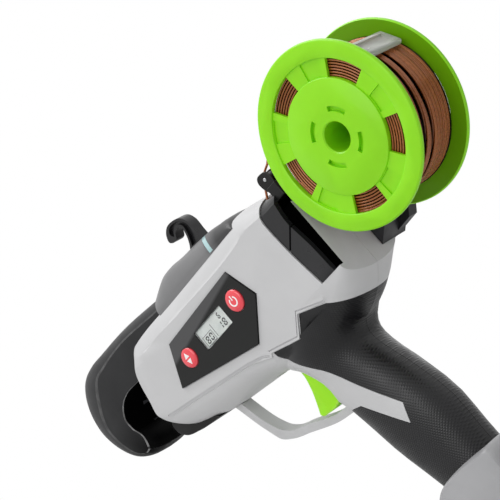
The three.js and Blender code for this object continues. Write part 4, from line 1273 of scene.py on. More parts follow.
@dataclass(frozen=True)
class GripForm:
    """The form of the grip, as sections of height, middle, half depth and half width."""

    roundness: float = 2.4
    around: int = 72
    sections: tuple[tuple[float, float, float, float], ...] = (
        (56, -10.6, 19.0, 16), (62, -10.2, 19.1, 16.1), (70.3, -9.5, 19.5, 16.3), (80, -8, 21, 16.5),
        (90, -6.6, 22.7, 17), (99.6, -5.3, 23.9, 17.5), (110, -3.4, 23.8, 17.8), (118.6, -1.3, 23.2, 18),
        (128, 1.2, 22.5, 18.3), (136, 4.2, 22.2, 18.7), (143, 5, 20.3, 19.2), (148, 5.8, 19.8, 19.8),
        (152, 6.5, 20.5, 20.4), (155, 6.6, 21.8, 21.1), (158, 6, 24, 21.8),
        (161.5, 4.4, 28.6, 22.6), (165, 1.6, 35.6, 23.2), (168.5, -1, 39.6, 23.8), (172.3, -4, 42, 24.2),
    )

    def solid(self, extra: float = 0.0) -> BMesh:
        """Makes the whole grip.

        Args:
            extra: How far its surface is moved outwards.

        Returns:
            The solid.
        """
        power = 2 / self.roundness
        rings = []
        for height, middle, deep, wide in self.sections:
            ring = []
            for index in range(self.around):
                turn = FULL_TURN * index / self.around
                c, s = math.cos(turn), math.sin(turn)
                ring.append(Vector((
                    middle + (deep + extra) * math.copysign(abs(c) ** power, c),
                    (wide + extra) * math.copysign(abs(s) ** power, s), height,
                )))
            rings.append(ring)
        return lofted(rings)


@dataclass(frozen=True)
class BareNeck:
    """The region of the neck that the rubber leaves bare, with its arrow along the grip."""

    outline: Outline = Outline(
        ((25.1, 181), (25.1, 173.3), (20.4, 164.7), (8.4, 150.4), (-.8, 134.3), (-14.4, 113),
         (-10.4, 103.1), (7.5, 126.1), (15.1, 127.9), (60, 127.6), (60, 181)),
        frozenset({0, 1, 5, 6, 7, 9, 10}),
    )

    def solid(self, extra: float = 0.0) -> BMesh:
        """Makes the tool that cuts the region out.

        Args:
            extra: How far its outline is moved outwards.

        Returns:
            The solid.
        """
        return prism(grown(self.outline.line(1.4), extra), -REACH, REACH)


@dataclass(frozen=True)
class RubberZone:
    """The region that the rubber covers, up to the lip on the body's underside."""

    outline: tuple[Point, ...] = (
        (-24.6, 173.8), (-6.2, 180.2), (3.8, 170.7), (25.3, 176.5), (45, 176.5), (45, 62), (-45, 62),
        (-45, 150), (-38, 150), (-38, 164.1),
    )
    skin: float = 2.4

    def solid(self) -> BMesh:
        """Makes the region as a solid across the whole width."""
        return prism(self.outline, -REACH, REACH)

    def cores(self, body: BodyForm, grip: GripForm, gap: float) -> list[BMesh]:
        """Makes what lies under the rubber.

        Args:
            body: The form of the body.
            grip: The form of the grip.
            gap: The distance between the rubber and what it lies on.

        Returns:
            The solids.
        """
        return [body.solid(gap - self.skin, 0.0), grip.solid(gap - self.skin)]


@dataclass(frozen=True)
class CoverForm:
    """The form of the cover on top of the body."""

    low: float = 236.0
    half: float = 20.0
    side_share: float = 0.2
    centre: tuple[Point, ...] = (
        (-6, 236), (75.6, 236), (76, 247), (73.6, 248), (69, 249.9), (64, 251.7), (57.5, 252.3),
        (43.5, 250.6), (30, 249.4), (10, 246.3), (-4.1, 241),
    )
    bands: tuple[Triple, ...] = (
        (0, 0, 0), (.3, .02, 0), (.5, .05, 0), (.65, .11, 0), (.78, .24, 0), (.87, .42, 0), (.94, .64, 0),
        (.98, .84, 0), (1, 1, 0),
    )

    def solid(self, drop: float = 0.0) -> BMesh:
        """Makes the whole cover.

        Args:
            drop: How far it is lowered.

        Returns:
            The solid.
        """
        line = Outline(self.centre, frozenset({0, 1, 2})).line(1.6)
        edge = [(x, self.low + (z - self.low) * self.side_share) for x, z in line]
        work = crowned(line, edge, self.half, self.bands)
        bmesh.ops.translate(work, verts=work.verts, vec=(0, 0, -drop))
        return work


# Sub-assemblies


@dataclass
class Housing:
    """The light grey clamshell with its neck and arrow."""

    body: BodyForm
    grip: GripForm
    neck: BareNeck
    zone: RubberZone
    gap: float = 0.3
    bezel: tuple[Point, ...] = ((79, 221.1), (13.3, 223), (6.4, 203.3), (27.7, 184.8), (93, 199.6))
    bezel_floor: float = 23.6
    recess: tuple[Point, ...] = (
        (-31.9, 234.6), (-29.8, 231.1), (-27.9, 224), (-27.9, 216.6), (-28.9, 202.6), (-31.9, 181.4),
        (-52, 181.4), (-52, 234.6),
    )
    recess_floor: float = 20.4
    shoulder: float = 226.7
    shoulder_floor: float = 13.7
    slot_low: Point = (-52, 221.5)
    slot_high: Point = (-40.3, 235.3)
    slot_floor: float = 12.4
    groove: tuple[Point, ...] = (
        (27.8, 176.4), (31.5, 178.6), (44, 181.9), (66, 186), (95, 191.4), (112, 194.4), (117.5, 195.6),
    )
    lip: tuple[Point, ...] = ((-25.4, 175.2), (-6.4, 182.1), (3.9, 172.8), (26, 178.5))
    trigger_low: Triple = (17, -6.9, 133.7)
    trigger_high: Triple = (51, 6.9, 178)
    screws: tuple[Point, ...] = ((-14, 228), (-14, 188), (91, 188))

    def _outside(self) -> BMesh:
        """Makes the outside of the clamshell as one solid."""
        neck = met(self.grip.solid(), self.neck.solid())
        shaft = met(self.grip.solid(-self.zone.skin), block((-REACH, -REACH, 40), (REACH, REACH, 175)))
        outside = joined(self.body.solid(), neck, shaft)
        room = cut(self.zone.solid(), *self.zone.cores(self.body, self.grip, 0.0), self.neck.solid())
        return cut(outside, room)

    def _openings(self) -> list[BMesh]:
        """Makes the tools that cut the clamshell's openings."""
        half = self.body.half
        return [
            prism(grown(self.bezel, self.gap), self.bezel_floor, REACH),
            prism(self.recess, self.recess_floor, REACH),
            met(
                prism(self.recess, self.shoulder_floor, REACH),
                block((-REACH, 0, self.shoulder), (0, REACH, 250)),
            ),
            block(
                (self.slot_low[0], self.slot_floor, self.slot_low[1]),
                (self.slot_high[0], REACH, self.slot_high[1]),
            ),
            block(self.trigger_low, self.trigger_high),
            prism(banded(self.groove, 1.5), half - 0.8, REACH),
            prism(banded(self.lip, 0.8), half - 0.6, REACH),
            *[rod(SCREW_BORE, -half - 5, -half + SCREW_FLOOR, spot) for spot in self.screws],
        ]

    def _slot_painted_shade(self, place: Vector, normal: Vector) -> float:
        """Paints shade on the walls of the wire slot and on the floor beside the rear covers."""
        (low_x, low_z), (high_x, high_z) = self.slot_low, self.slot_high
        slack = 0.05
        if normal.y > 0.9 and abs(place.y - self.recess_floor) < slack and place.x < self.recess[4][0]:
            return 1.0
        rear = normal.x < -0.5 and place.x < (low_x + high_x) / 2
        inside = (
            low_x < place.x < high_x + slack and low_z - slack < place.z < high_z + slack
            and place.y > self.slot_floor - slack and not rear
        )
        return 1.0 if inside else 0.0

    def build(self, finishes: Finishes, nose_tool: BMesh) -> None:
        """Builds both halves.

        Args:
            finishes: The tool's finishes.
            nose_tool: The space of the nose, which is used up.
        """
        whole = cut(self._outside(), *self._openings(), nose_tool)
        for side in Side:
            half = halved(whole, side, 2 * self.gap / 3)
            chamfered(half, 0.35, 48)
            painted_shade_on(half, self._slot_painted_shade)
            ticket = Ticket(f"shell_{side.word}", "tool", "shell", (f"housing_{side.word}",))
            fitted(half, ticket, finishes.shell)
        whole.free()


@dataclass
class GripRubber:
    """The rubber over the grip, in two halves."""

    body: BodyForm
    grip: GripForm
    neck: BareNeck
    zone: RubberZone
    gap: float = 0.3

    def build(self, finishes: Finishes) -> None:
        """Builds both halves.

        Args:
            finishes: The tool's finishes.
        """
        outside = joined(
            met(self.body.solid(0.0, 0.0), self.zone.solid()), met(self.grip.solid(), self.zone.solid()),
        )
        whole = cut(outside, self.neck.solid(self.gap), *self.zone.cores(self.body, self.grip, self.gap))
        for side in Side:
            half = halved(whole, side, 2 * self.gap / 3)
            chamfered(half, 0.3, 50)
            ticket = Ticket(f"rubber_{side.word}", "tool", "rubber", (f"grip_rubber_{side.word}",))
            fitted(half, ticket, finishes.rubber)
        whole.free()


@dataclass
class Nose:
    """The dark hook round the throat, and the black jaw under it."""

    half: float = 19.0
    gap: float = 0.3
    step: float = 1.5
    centre: tuple[Point, ...] = (
        (76.3, 246.7), (121, 252), (146, 253), (160, 253.4), (172, 251.5), (182, 244), (187.5, 234.5),
        (189.5, 223), (187.3, 212.5), (182.5, 203.5), (176.5, 196.8), (168, 191.3), (158, 188.3),
        (149.8, 188.8), (148.5, 193), (149.5, 200), (152.5, 207), (152.5, 213.5), (146.5, 219.5),
        (138, 222), (127, 222), (104, 220), (76.3, 240),
    )
    side: tuple[Point, ...] = (
        (76.3, 239.6), (121.5, 244), (139, 243), (151, 241), (157, 236), (162, 230.5), (166.5, 225),
        (169.5, 219), (169.5, 210), (167, 202), (163, 196), (160, 193.8), (156.5, 192.6), (153.8, 193),
        (152, 196.5), (151.1, 200.3), (154, 207.2), (154.3, 213.4), (148.1, 220.4), (138.4, 223.4),
        (127.2, 223.1), (104, 223), (76.3, 237),
    )
    bands: tuple[Triple, ...] = (
        (0, 0, 0), (.25, .04, 0), (.45, .1, 0), (.6, .2, 0), (.72, .33, 0), (.82, .5, 0), (.9, .68, 0),
        (.96, .86, 0), (1, 1, 0),
    )
    jaw: tuple[Point, ...] = (
        (97.8, 176.3), (106, 177.3), (118.1, 179.6), (129, 183.5), (132.4, 187.5), (132.4, 193),
        (126, 196), (112, 196),
    )
    jaw_half: float = 13.0
    groove: tuple[Point, ...] = (
        (127.1, 224.6), (138.3, 224.6), (147.6, 222), (154.2, 215), (154.2, 207.8), (151.2, 200.2),
        (150.3, 193.5),
    )
    groove_half: float = 3.3
    throat_low: Point = (100.0, 189.0)
    throat_high: Point = (157.0, 224.5)
    throat_rim: float = 1.0
    throat_turn: float = 0.75
    # The painted shade in the throat eases to its least share over the fade's height from the bottom
    throat_least: float = 0.62
    throat_fade: float = 16.0
    crease_from: float = 0.95
    crease_low: float = 0.7
    crease_high: float = 0.985
    crease_highlight: float = 0.2

    def solid(self, extra: float = 0.0) -> BMesh:
        """Makes the whole nose.

        Args:
            extra: How far every surface is moved outwards.

        Returns:
            The solid.
        """
        middle = Outline(self.centre, frozenset({0, 13, 21, 22}))
        edge = Outline(self.side, frozenset({0, 13, 16, 21, 22}))
        counts = middle.counts(self.step)
        inner, outer = middle.traced(counts), edge.traced(counts)
        if extra:
            inner, outer = grown(inner, extra), grown(outer, extra)
        return crowned(inner, outer, self.half + extra, self.bands, None, 0.5)

    def _throat_painted_shade(self, place: Vector, normal: Vector) -> float:
        """Paints shade on the walls of the throat, easing off toward its lower end."""
        low, high = self.throat_low, self.throat_high
        within = low[0] < place.x < high[0] and low[1] < place.z < high[1]
        inner = abs(place.y) < self.half - self.throat_rim and abs(normal.y) < self.throat_turn
        if not (within and inner):
            return 0.0
        return min(1.0, max(self.throat_least, (place.z - low[1]) / self.throat_fade))

    def _creased(self, work: BMesh) -> None:
        """Paints highlight lines on the crease round the flat of the side and on the throat's rim, through
        the edge mark.
        """
        mark = work.faces.layers.float.get(EDGE_MARK)
        for face in work.faces:
            place = face.calc_center_median()
            if abs(place.y) < self.half * self.crease_from:
                continue
            turn = abs(face.normal.y)
            if self.crease_low < turn < self.crease_high:
                face[mark] = max(face[mark], self.crease_highlight)
            elif turn <= self.crease_low and place.x < self.throat_high[0] and place.z < self.throat_high[1]:
                face[mark] = 1.0

    def build(self, finishes: Finishes) -> None:
        """Builds the two halves of the nose, and the jaw.

        Args:
            finishes: The tool's finishes.
        """
        whole = cut(self.solid(), prism(banded(self.groove, 2.4), -self.groove_half, self.groove_half))
        for side in Side:
            half = halved(whole, side, 2 * self.gap / 3)
            chamfered(half, 0.45, 34)
            painted_shade_on(half, self._throat_painted_shade)
            self._creased(half)
            ticket = Ticket(f"hook_nose_{side.word}", "tool", "dark", (f"nose_{side.word}",))
            fitted(half, ticket, finishes.nose)
        whole.free()
        jaw = prism(Outline(self.jaw, frozenset({0, 6, 7})).line(1.2), -self.jaw_half, self.jaw_half)
        chamfered(jaw, 1.2, 40, 3)
        fitted(jaw, Ticket("loop_jaw", "tool", "black", ("lower_jaw",)), finishes.jaw)


@dataclass
class TopCover:
    """The grey cover with the pale strip across it and the hook."""

    form: CoverForm
    strip_x: float = 24.0
    strip_wide: float = 2.6
    strip_rake: float = 11.0
    strip_deep: float = 1.4
    hook_half: float = 3.4
    web_half: float = 1.5
    hook_pocket: tuple[Point, ...] = (
        (32.4, 251), (39.9, 251.7), (38.6, 253.9), (36.4, 258.5), (35.8, 263.2), (38.6, 265.8),
        (43.4, 265), (45.9, 262.9), (47.2, 265.3), (44.8, 267.7), (40.3, 267.8), (33.9, 264.8),
        (32.4, 261.7), (32.4, 255.2),
    )
    hook: tuple[Point, ...] = (
        (31, 249.2), (43.6, 250.4), (40.8, 253.3), (37.8, 258.8), (37.2, 262.7), (39.4, 264.4),
        (43, 263.6), (45.8, 260.8), (49, 260.9), (51.4, 262.9), (50.2, 266.1), (45.8, 269.2),
        (40, 269.2), (32.8, 265.8), (31, 262.1), (31, 255.2),
    )

    def _strip_tool(self, extra: float) -> BMesh:
        """Makes the tool that cuts the strip out of the cover.

        Args:
            extra: How far it is widened.

        Returns:
            The solid.
        """
        wide, end = self.strip_wide / 2 + extra, self.form.half + 4
        spots = [
            Vector((self.strip_x - back, y, 0))
            for back, y in ((0, 0), (0.5, 7), (4, 13), (self.strip_rake, end))
        ]
        line = eased_line(spots[::-1], 6)[:-1]
        line += [Vector((p.x, -p.y, 0)) for p in eased_line(spots, 6)]
        band = banded([(p.x, p.y) for p in line], 2 * wide)
        return extruded([(x, y, 228) for x, y in band], (0, 0, 40))

    def _hook_solid(self) -> BMesh:
        """Makes the hook with a rib round a thinner web."""
        line = Outline(self.hook, frozenset({0, 1})).line(0.7)
        hook = prism(line, -self.hook_half, self.hook_half)
        inner = Outline(self.hook_pocket, frozenset({0, 1})).line(0.7)
        for side in Side:
            ends = sorted((side.value * self.web_half, side.value * (self.hook_half + 2)))
            hook = cut(hook, prism(inner, ends[0], ends[1]))
        return chamfered(hook, 0.3, 40)

    def build(self, finishes: Finishes) -> None:
        """Builds the cover, the strip and the hook.

        Args:
            finishes: The tool's finishes.
        """
        groove = cut(self._strip_tool(0.15), self.form.solid(self.strip_deep + 0.1))
        cover = cut(self.form.solid(), groove)
        ticket = Ticket("cover_top", "tool", "dark", ("top_cover",))
        fitted(chamfered(cover, 0.35, 45), ticket, finishes.cover)
        strip = cut(met(self.form.solid(), self._strip_tool(0)), self.form.solid(self.strip_deep))
        fitted(strip, Ticket("teal_strip", "tool", "strip", ("light_strip",)), finishes.strip)
        ticket = Ticket("hook_top", "tool", "dark", ("hanging_hook",))
        fitted(self._hook_solid(), ticket, finishes.side_cover)


@dataclass
class DisplayPanel:
    """The glossy panel with its display and two keys."""

    outline: tuple[Point, ...] = ((79, 221.1), (13.3, 223), (6.4, 203.3), (27.7, 184.8), (93, 199.6))
    floor: float = 23.9
    face: float = 25.5
    lcd_centre: Point = (45.2, 208.5)
    lcd_size: Point = (27.0, 11.2)
    lcd_front: float = 24.1
    power: Point = (19.99, 209.15)
    power_radius: float = 6.0
    rocker: Point = (73.1, 207.59)
    rocker_radius: float = 5.6
    key_gap: float = 0.45
    key_top: float = 26.9
    digit_height: float = 4.3
    stroke: float = 0.72
    lean: float = 0.1

    def _frame(self) -> BMesh:
        """Makes the panel with its three openings."""
        panel = prism(self.outline, self.floor, self.face)
        x, z = self.lcd_centre
        wide, high = self.lcd_size[0] / 2 + 0.3, self.lcd_size[1] / 2 + 0.3
        window = block((x - wide, 0, z - high), (x + wide, REACH, z + high))
        holes = [
            rod(radius + self.key_gap, 10, 40, spot, 64)
            for spot, radius in ((self.power, self.power_radius), (self.rocker, self.rocker_radius))
        ]
        return chamfered(cut(panel, window, *holes), 0.28, 40)

    def _key(self, spot: Point, radius: float) -> BMesh:
        """Makes a domed key.

        Args:
            spot: The X and Z of its middle.
            radius: Its radius.

        Returns:
            The solid.
        """
        top = self.key_top
        return turned([
            (0, 20.3), (2.6, 20.3), (2.6, 24.7), (radius, 24.7), (radius, top - 1.0),
            (radius - 0.25, top - 0.62), (radius * 0.87, top - 0.34), (radius * 0.7, top - 0.15),
            (radius * 0.4, top - 0.03), (0, top),
        ], spot, 64)

    def _power_sign(self) -> BMesh:
        """Makes the round sign with its bar."""
        x, z = self.power
        ring = arc((x, z), 2.9, 125, 415, 40) + arc((x, z), 2.1, 415, 125, 40)
        bar = [(x - 0.4, z + 0.6), (x + 0.4, z + 0.6), (x + 0.4, z + 3.5), (x - 0.4, z + 3.5)]
        low, high = self.key_top - 0.5, self.key_top + 0.05
        return packed(prism(ring, low, high), prism(bar, low, high))

    def _arrow_signs(self) -> BMesh:
        """Makes the two triangles that point up and down."""
        x, z = self.rocker
        low, high = self.key_top - 0.5, self.key_top + 0.05
        signs = [
            prism([(x - 1.9, z + way * 0.5), (x + 1.9, z + way * 0.5), (x, z + way * 3.7)], low, high)
            for way in (1, -1)
        ]
        return packed(*signs)

    def _digit(self, strokes: str, left: float, low: float, size: Point) -> list[BMesh]:
        """Makes one digit from up to seven strokes.

        Args:
            strokes: Letters a to g of the strokes that show.
            left: Where the digit starts, counted towards the spool.
            low: The Z of its lower edge.
            size: Its width and height.

        Returns:
            The strokes as solids.
        """
        wide, high = size
        t = self.stroke * high / self.digit_height
        mid = high / 2
        spans = {
            "a": ((t, high - t), (wide - t, high)), "g": ((t, mid - t / 2), (wide - t, mid + t / 2)),
            "d": ((t, 0), (wide - t, t)), "f": ((0, mid + t / 2), (t, high - t / 2)),
            "b": ((wide - t, mid + t / 2), (wide, high - t / 2)), "e": ((0, t / 2), (t, mid - t / 2)),
            "c": ((wide - t, t / 2), (wide, mid - t / 2)),
        }
        solids = []
        for name in strokes:
            (x0, z0), (x1, z1) = spans[name]
            corners = [(x0, z0), (x1, z0), (x1, z1), (x0, z1)]
            placed = [(left - x - self.lean * z, low + z) for x, z in corners]
            solids.append(prism(placed, self.lcd_front - 0.02, self.lcd_front + 0.06))
        return solids

    def _figures(self) -> BMesh:
        """Makes the plain figures on the display."""
        x, z = self.lcd_centre
        lower, upper = z - 4.3, z + 0.8
        large, small = (2.7, self.digit_height), (2.1, 3.5)
        digits = (
            ("abcdefg", 10.9, lower, large), ("abcdef", 7.2, lower, large), ("acdefg", -6.6, upper, small),
            ("bc", -3.2, lower, large), ("abcdefg", -7.2, lower, large),
        )
        solids = [
            stroke for strokes, left, low, size in digits
            for stroke in self._digit(strokes, x + left, low, size)
        ]
        solids += self._frame_lines(x + 12.3, x + 3.2, lower - 0.7, lower + 5.2)
        solids += self._frame_lines(x + 1.6, x + 1.4, lower - 0.4, lower + 7.4)
        return packed(*solids)

    def _frame_lines(self, left: float, right: float, low: float, high: float) -> list[BMesh]:
        """Makes the thin frame round a figure.

        Args:
            left: The X of its left side.
            right: The X of its right side.
            low: The Z of its lower side.
            high: The Z of its upper side.

        Returns:
            The four lines as solids.
        """
        thin = self.stroke / 3
        near, far = self.lcd_front - 0.02, self.lcd_front + 0.06
        return [
            block((right, near, low), (left, far, low + thin)),
            block((right, near, high - thin), (left, far, high)),
            block((left - thin, near, low + thin), (left, far, high - thin)),
            block((right, near, low + thin), (right + thin, far, high - thin)),
        ]

    def build(self, finishes: Finishes) -> None:
        """Builds the panel, its display and its keys.

        Args:
            finishes: The tool's finishes.
        """
        fitted(self._frame(), Ticket("panel_frame", "tool", "black", ("display_bezel",)), finishes.bezel)
        x, z = self.lcd_centre
        wide, high = self.lcd_size[0] / 2, self.lcd_size[1] / 2
        glass = block((x - wide, 24.4, z - high), (x + wide, self.face - 0.05, z + high))
        chamfered(glass, 0.2)
        fitted(glass, Ticket("panel_window", "tool", "window", ("display_window",)), finishes.window)
        wide, high = wide - 0.05, high - 0.05
        plate = block((x - wide, 16.6, z - high), (x + wide, self.lcd_front, z + high))
        chamfered(plate, 0.15)
        fitted(plate, Ticket("panel_display", "tool", "lcd", ("display_module",)), finishes.lcd)
        fitted(self._figures(), Ticket("panel_figures", "tool", "lcd"), finishes.ink)
        key = self._key(self.power, self.power_radius)
        fitted(key, Ticket("key_power", "power_button", "red", ("power_button",)), finishes.red)
        fitted(self._power_sign(), Ticket("key_power_sign", "power_button", "red"), finishes.symbol)
        key = self._key(self.rocker, self.rocker_radius)
        fitted(key, Ticket("key_adjust", "adjust_rocker", "red", ("adjust_rocker",)), finishes.red)
        fitted(self._arrow_signs(), Ticket("key_adjust_signs", "adjust_rocker", "red"), finishes.symbol)


@dataclass
class RearCovers:
    """The two dark panels beside the wire slot, and the small wire guide above it."""

    body: BodyForm
    floor: float = 20.7
    face: float = 23.7
    shoulder: float = 227.0
    shoulder_floor: float = 14.0
    outline: tuple[Point, ...] = (
        (-31.9, 234.3), (-30.1, 231.1), (-28.2, 224), (-28.2, 216.6), (-29.2, 202.6), (-32.2, 181.7),
        (-43, 181.7), (-42, 199.4), (-39.9, 213.6), (-40.1, 218.6), (-41.1, 224.2), (-42.9, 232.3),
    )
    seam: tuple[Point, ...] = ((-44, 215.3), (-25, 200.2), (-25, 201.5), (-44, 216.6))
    ear: tuple[Point, ...] = (
        (-47.2, 231), (-41, 231), (-38.4, 237.6), (-38.4, 240.4), (-39.6, 242.2), (-43.6, 242.6),
        (-46.6, 241.6), (-47.5, 239.4),
    )
    ear_thick: float = 1.4
    ear_places: Point = (11.7, 18.1)
    pin: Point = (-43.7, 238.8)

    def build(self, finishes: Finishes) -> None:
        """Builds the panels and the guide.

        Args:
            finishes: The tool's finishes.
        """
        outline = Outline(self.outline, frozenset({0, 5, 6, 8, 11})).line(1.5)
        plate = met(prism(outline, self.shoulder_floor, self.face), self.body.solid(-0.5, 0.0))
        under = block((-REACH, 0, 170), (0, self.floor, self.shoulder))
        plate = cut(plate, under, prism(self.seam, 0, REACH))
        chamfered(plate, 0.3, 45)
        for name, keep_upper in (("upper", True), ("lower", False)):
            part = plate.copy()
            beyond = [v for v in part.verts if self._above_seam(v.co) != keep_upper]
            bmesh.ops.delete(part, geom=beyond, context="VERTS")
            ticket = Ticket(f"side_cover_{name}", "tool", "dark", (f"rear_cover_{name}",))
            fitted(part, ticket, finishes.side_cover)
        plate.free()
        self._guide(finishes)

    def _above_seam(self, place: Vector) -> bool:
        """Says whether a place lies above the seam between the two panels."""
        (x0, low0), (x1, low1), (_, high1), (_, high0) = self.seam
        z0, z1 = (low0 + high0) / 2, (low1 + high1) / 2
        return place.z > z0 + (z1 - z0) * (place.x - x0) / (x1 - x0)

    def _guide(self, finishes: Finishes) -> None:
        """Builds the ears, their pin and the roller.

        Args:
            finishes: The tool's finishes.
        """
        line = Outline(self.ear, frozenset({0, 1})).line(0.6)
        ears = [chamfered(prism(line, y, y + self.ear_thick), 0.3, 40) for y in self.ear_places]
        base = chamfered(block((-47.7, 12.7, 226.7), (-40.6, 20.1, 234.9)), 0.4)
        ticket = Ticket("guide_ears", "tool", "black", ("guide_bracket",))
        fitted(packed(base, *ears), ticket, finishes.jaw)
        pin = turned([(0, 11.3), (1, 11.3), (1, 19.7), (0.8, 19.9), (0, 19.9)], self.pin, 32)
        fitted(pin, Ticket("guide_pin_bright", "tool", "steel", ("guide_pin",)), finishes.steel)
        roller = turned([
            (1.25, 13.4), (2.8, 13.4), (2.8, 13.8), (2.0, 14.8), (2.0, 16.4), (2.8, 17.4), (2.8, 17.8),
            (1.25, 17.8),
        ], self.pin, 48, True)
        fitted(roller, Ticket("guide_wheel", "guide_roller", "dark", ("guide_roller",)), finishes.arm)


@dataclass
class Spool:
    """The lime spool with its wire and the clear clip."""

    centre: Point = (-97.0, 224.0)
    radius: float = 47.5
    half: float = 21.6
    thick: float = 2.8
    hub: float = 29.0
    rim: float = 38.5
    lift: float = 1.1
    bore: float = 7.6
    windows: int = 5
    window_phase: float = 2.0
    far_phase: float = -11.1
    window_half: float = 15.84
    pocket_half: float = 9.0
    pocket_shift: float = 0.57
    pocket_deep: float = 0.85
    slots: int = 4
    slot_phase: float = 50.0
    slot_radius: float = 14.0
    slot_half: float = 1.3
    slot_span: float = 42.0
    slot_deep: float = 2.2
    # Share of painted shade on the flange faces that look at the wire
    inner_shade: float = 0.55
    coil: float = 38.0
    wire: float = 0.62
    turns: int = 28
    furrows: tuple[Point, ...] = ((3.2, 2.3), (-3.2, 2.0))
    furrow_wide: float = 1.0
    furrow_sway: float = 1.9
    furrow_turn: float = -178.0
    clip_turn: float = -150.0

    def _profile(self) -> list[Point]:
        """Lists the flange's section from the bore outwards."""
        face, back = self.half, self.half - self.thick
        floor = face - self.lift
        return [
            (self.bore, 0.2), (self.bore, face - 0.6), (self.bore + 0.6, face), (self.hub - 0.5, face),
            (self.hub, face - 0.3), (self.hub + 0.1, floor), (self.rim - 0.1, floor), (self.rim, face - 0.3),
            (self.rim + 0.5, face), (self.radius - 1.5, face), (self.radius - 0.6, face - 0.25),
            (self.radius - 0.1, face - 0.8), (self.radius, face - 1.4), (self.radius - 0.1, back + 0.5),
            (self.radius - 0.6, back), (21, back), (21, 0.2), (19, 0.2), (19, back), (9.8, back), (9.8, 0.2),
        ]

    def _sector(
        self, inner: float, outer: float, middle: float, half: float, near: float, far: float = 40.0,
    ) -> BMesh:
        """Makes a cutting tool shaped as part of a ring.

        Args:
            inner: The ring's inner radius.
            outer: Its outer radius.
            middle: The angle of the part's middle in degrees.
            half: Half of its span in degrees.
            near: The Y of one face.
            far: The Y of the other face.

        Returns:
            The solid.
        """
        line = arc(self.centre, outer, middle - half, middle + half, 16)
        line += arc(self.centre, inner, middle + half, middle - half, 16)
        return prism(line, near, far)

    def _flange(self, side: Side) -> BMesh:
        """Makes one flange with its windows and slots.

        Args:
            side: The side that it faces.

        Returns:
            The solid.
        """
        disc = turned(self._profile(), self.centre, 144, True)
        pitch, phase = 360 / self.windows, self.window_phase if side is Side.LEFT else self.far_phase
        pocket_floor, slot_floor = self.half - self.lift - self.pocket_deep, self.half - self.slot_deep
        tools = []
        for index in range(self.windows):
            middle = phase + pitch * index
            tools.append(self._sector(self.hub, self.rim, middle, self.window_half, -5))
            middle += self.pocket_shift * pitch
            tools.append(self._sector(self.hub + 0.4, self.rim - 0.4, middle, self.pocket_half, pocket_floor))
        inner, outer = self.slot_radius - self.slot_half, self.slot_radius + self.slot_half
        for index in range(self.slots):
            middle = self.slot_phase + 360 / self.slots * index
            tools.append(self._sector(inner, outer, middle, self.slot_span / 2, slot_floor))
        flange = chamfered(cut(disc, *tools), 0.25, 50)
        painted_shade_on(flange, self._inner_shade)
        if side is Side.RIGHT:
            bmesh.ops.scale(flange, vec=(1, -1, 1), verts=flange.verts)
            bmesh.ops.reverse_faces(flange, faces=flange.faces)
        return flange

    def _inner_shade(self, place: Vector, normal: Vector) -> float:
        """Paints shade on the face of a flange that looks at the wire."""
        return self.inner_shade if normal.y < -0.9 and place.y > self.half / 2 else 0.0

    def _fall(self, y: float, angle: float) -> float:
        """Gives the depth of the two furrows between the wound turns.

        Args:
            y: The place across the spool.
            angle: The angle about its axis.

        Returns:
            How far the wire lies below the rest.
        """
        sway = self.furrow_sway * math.cos(angle - math.radians(self.furrow_turn))
        return sum(
            deep * math.exp(-((y - sway - place) / self.furrow_wide) ** 2) for place, deep in self.furrows
        )

    def _coil_height(self, y: float, angle: float) -> float:
        """Gives the wound wire's radius at one place."""
        crown = 0.3 * (1 - (y / 18) ** 2)
        return self.coil + crown - self._fall(y, angle)

    def _core(self) -> BMesh:
        """Makes the wound wire under the outer layer, ribbed on its sides as the turns are."""
        reach = 18.65
        profile: list[Point] = [(21.2, -reach + 1.0)]
        rings, first, last = 12, 21.4, 39.0
        wide = (last - first) / rings
        rib = ((0.06, 0.95), (0.16, 0.3), (0.36, 0.04), (0.64, 0.04), (0.84, 0.3), (0.94, 0.95))
        for index in range(rings):
            low = first + wide * index
            profile += [(low + wide * across, deep - reach) for across, deep in rib]
        side = len(profile)
        profile += [
            (38.2, -17.4), (37.8, -16.8), (37.7, -8.4), (35.4, -7.6), (35.4, 7.6), (37.7, 8.4),
            (37.8, 16.8), (38.2, 17.4),
        ]
        mirrored = [(radius, -y) for radius, y in reversed(profile[:side])]
        core = turned(profile + mirrored, self.centre, 128, True)
        # Painted shade on the core's faces away from the flanges, which show as dark gaps between the turns
        return painted_shade_on(core, lambda place, _: 1.0 if abs(place.y) < reach - 0.5 else 0.0)

    def _winding(self) -> BMesh:
        """Makes the outer layer, turn by turn, slightly uneven."""
        steps, span = 72, 36.0
        points = []
        for index in range(self.turns * steps + 1):
            turn = index / steps
            y = -span / 2 + span * turn / self.turns
            y += 0.16 * math.sin(turn * 2.7) + 0.1 * math.sin(turn * 0.9 + 1.0)
            angle = FULL_TURN * turn
            radius = self._coil_height(y, angle) + 0.08 * math.sin(turn * 5.3) + 0.08 * math.sin(angle * 0.31)
            points.append(Vector((
                self.centre[0] + radius * math.cos(angle), y, self.centre[1] + radius * math.sin(angle),
            )))
        return painted_shade_on(strand(points, self.wire), self._furrow_shade)

    def _furrow_shade(self, place: Vector, _: Vector) -> float:
        """Paints shade on the wire that lies in a furrow."""
        angle = math.atan2(place.z - self.centre[1], place.x - self.centre[0])
        return min(1.0, self._fall(place.y, angle) / 1.2)

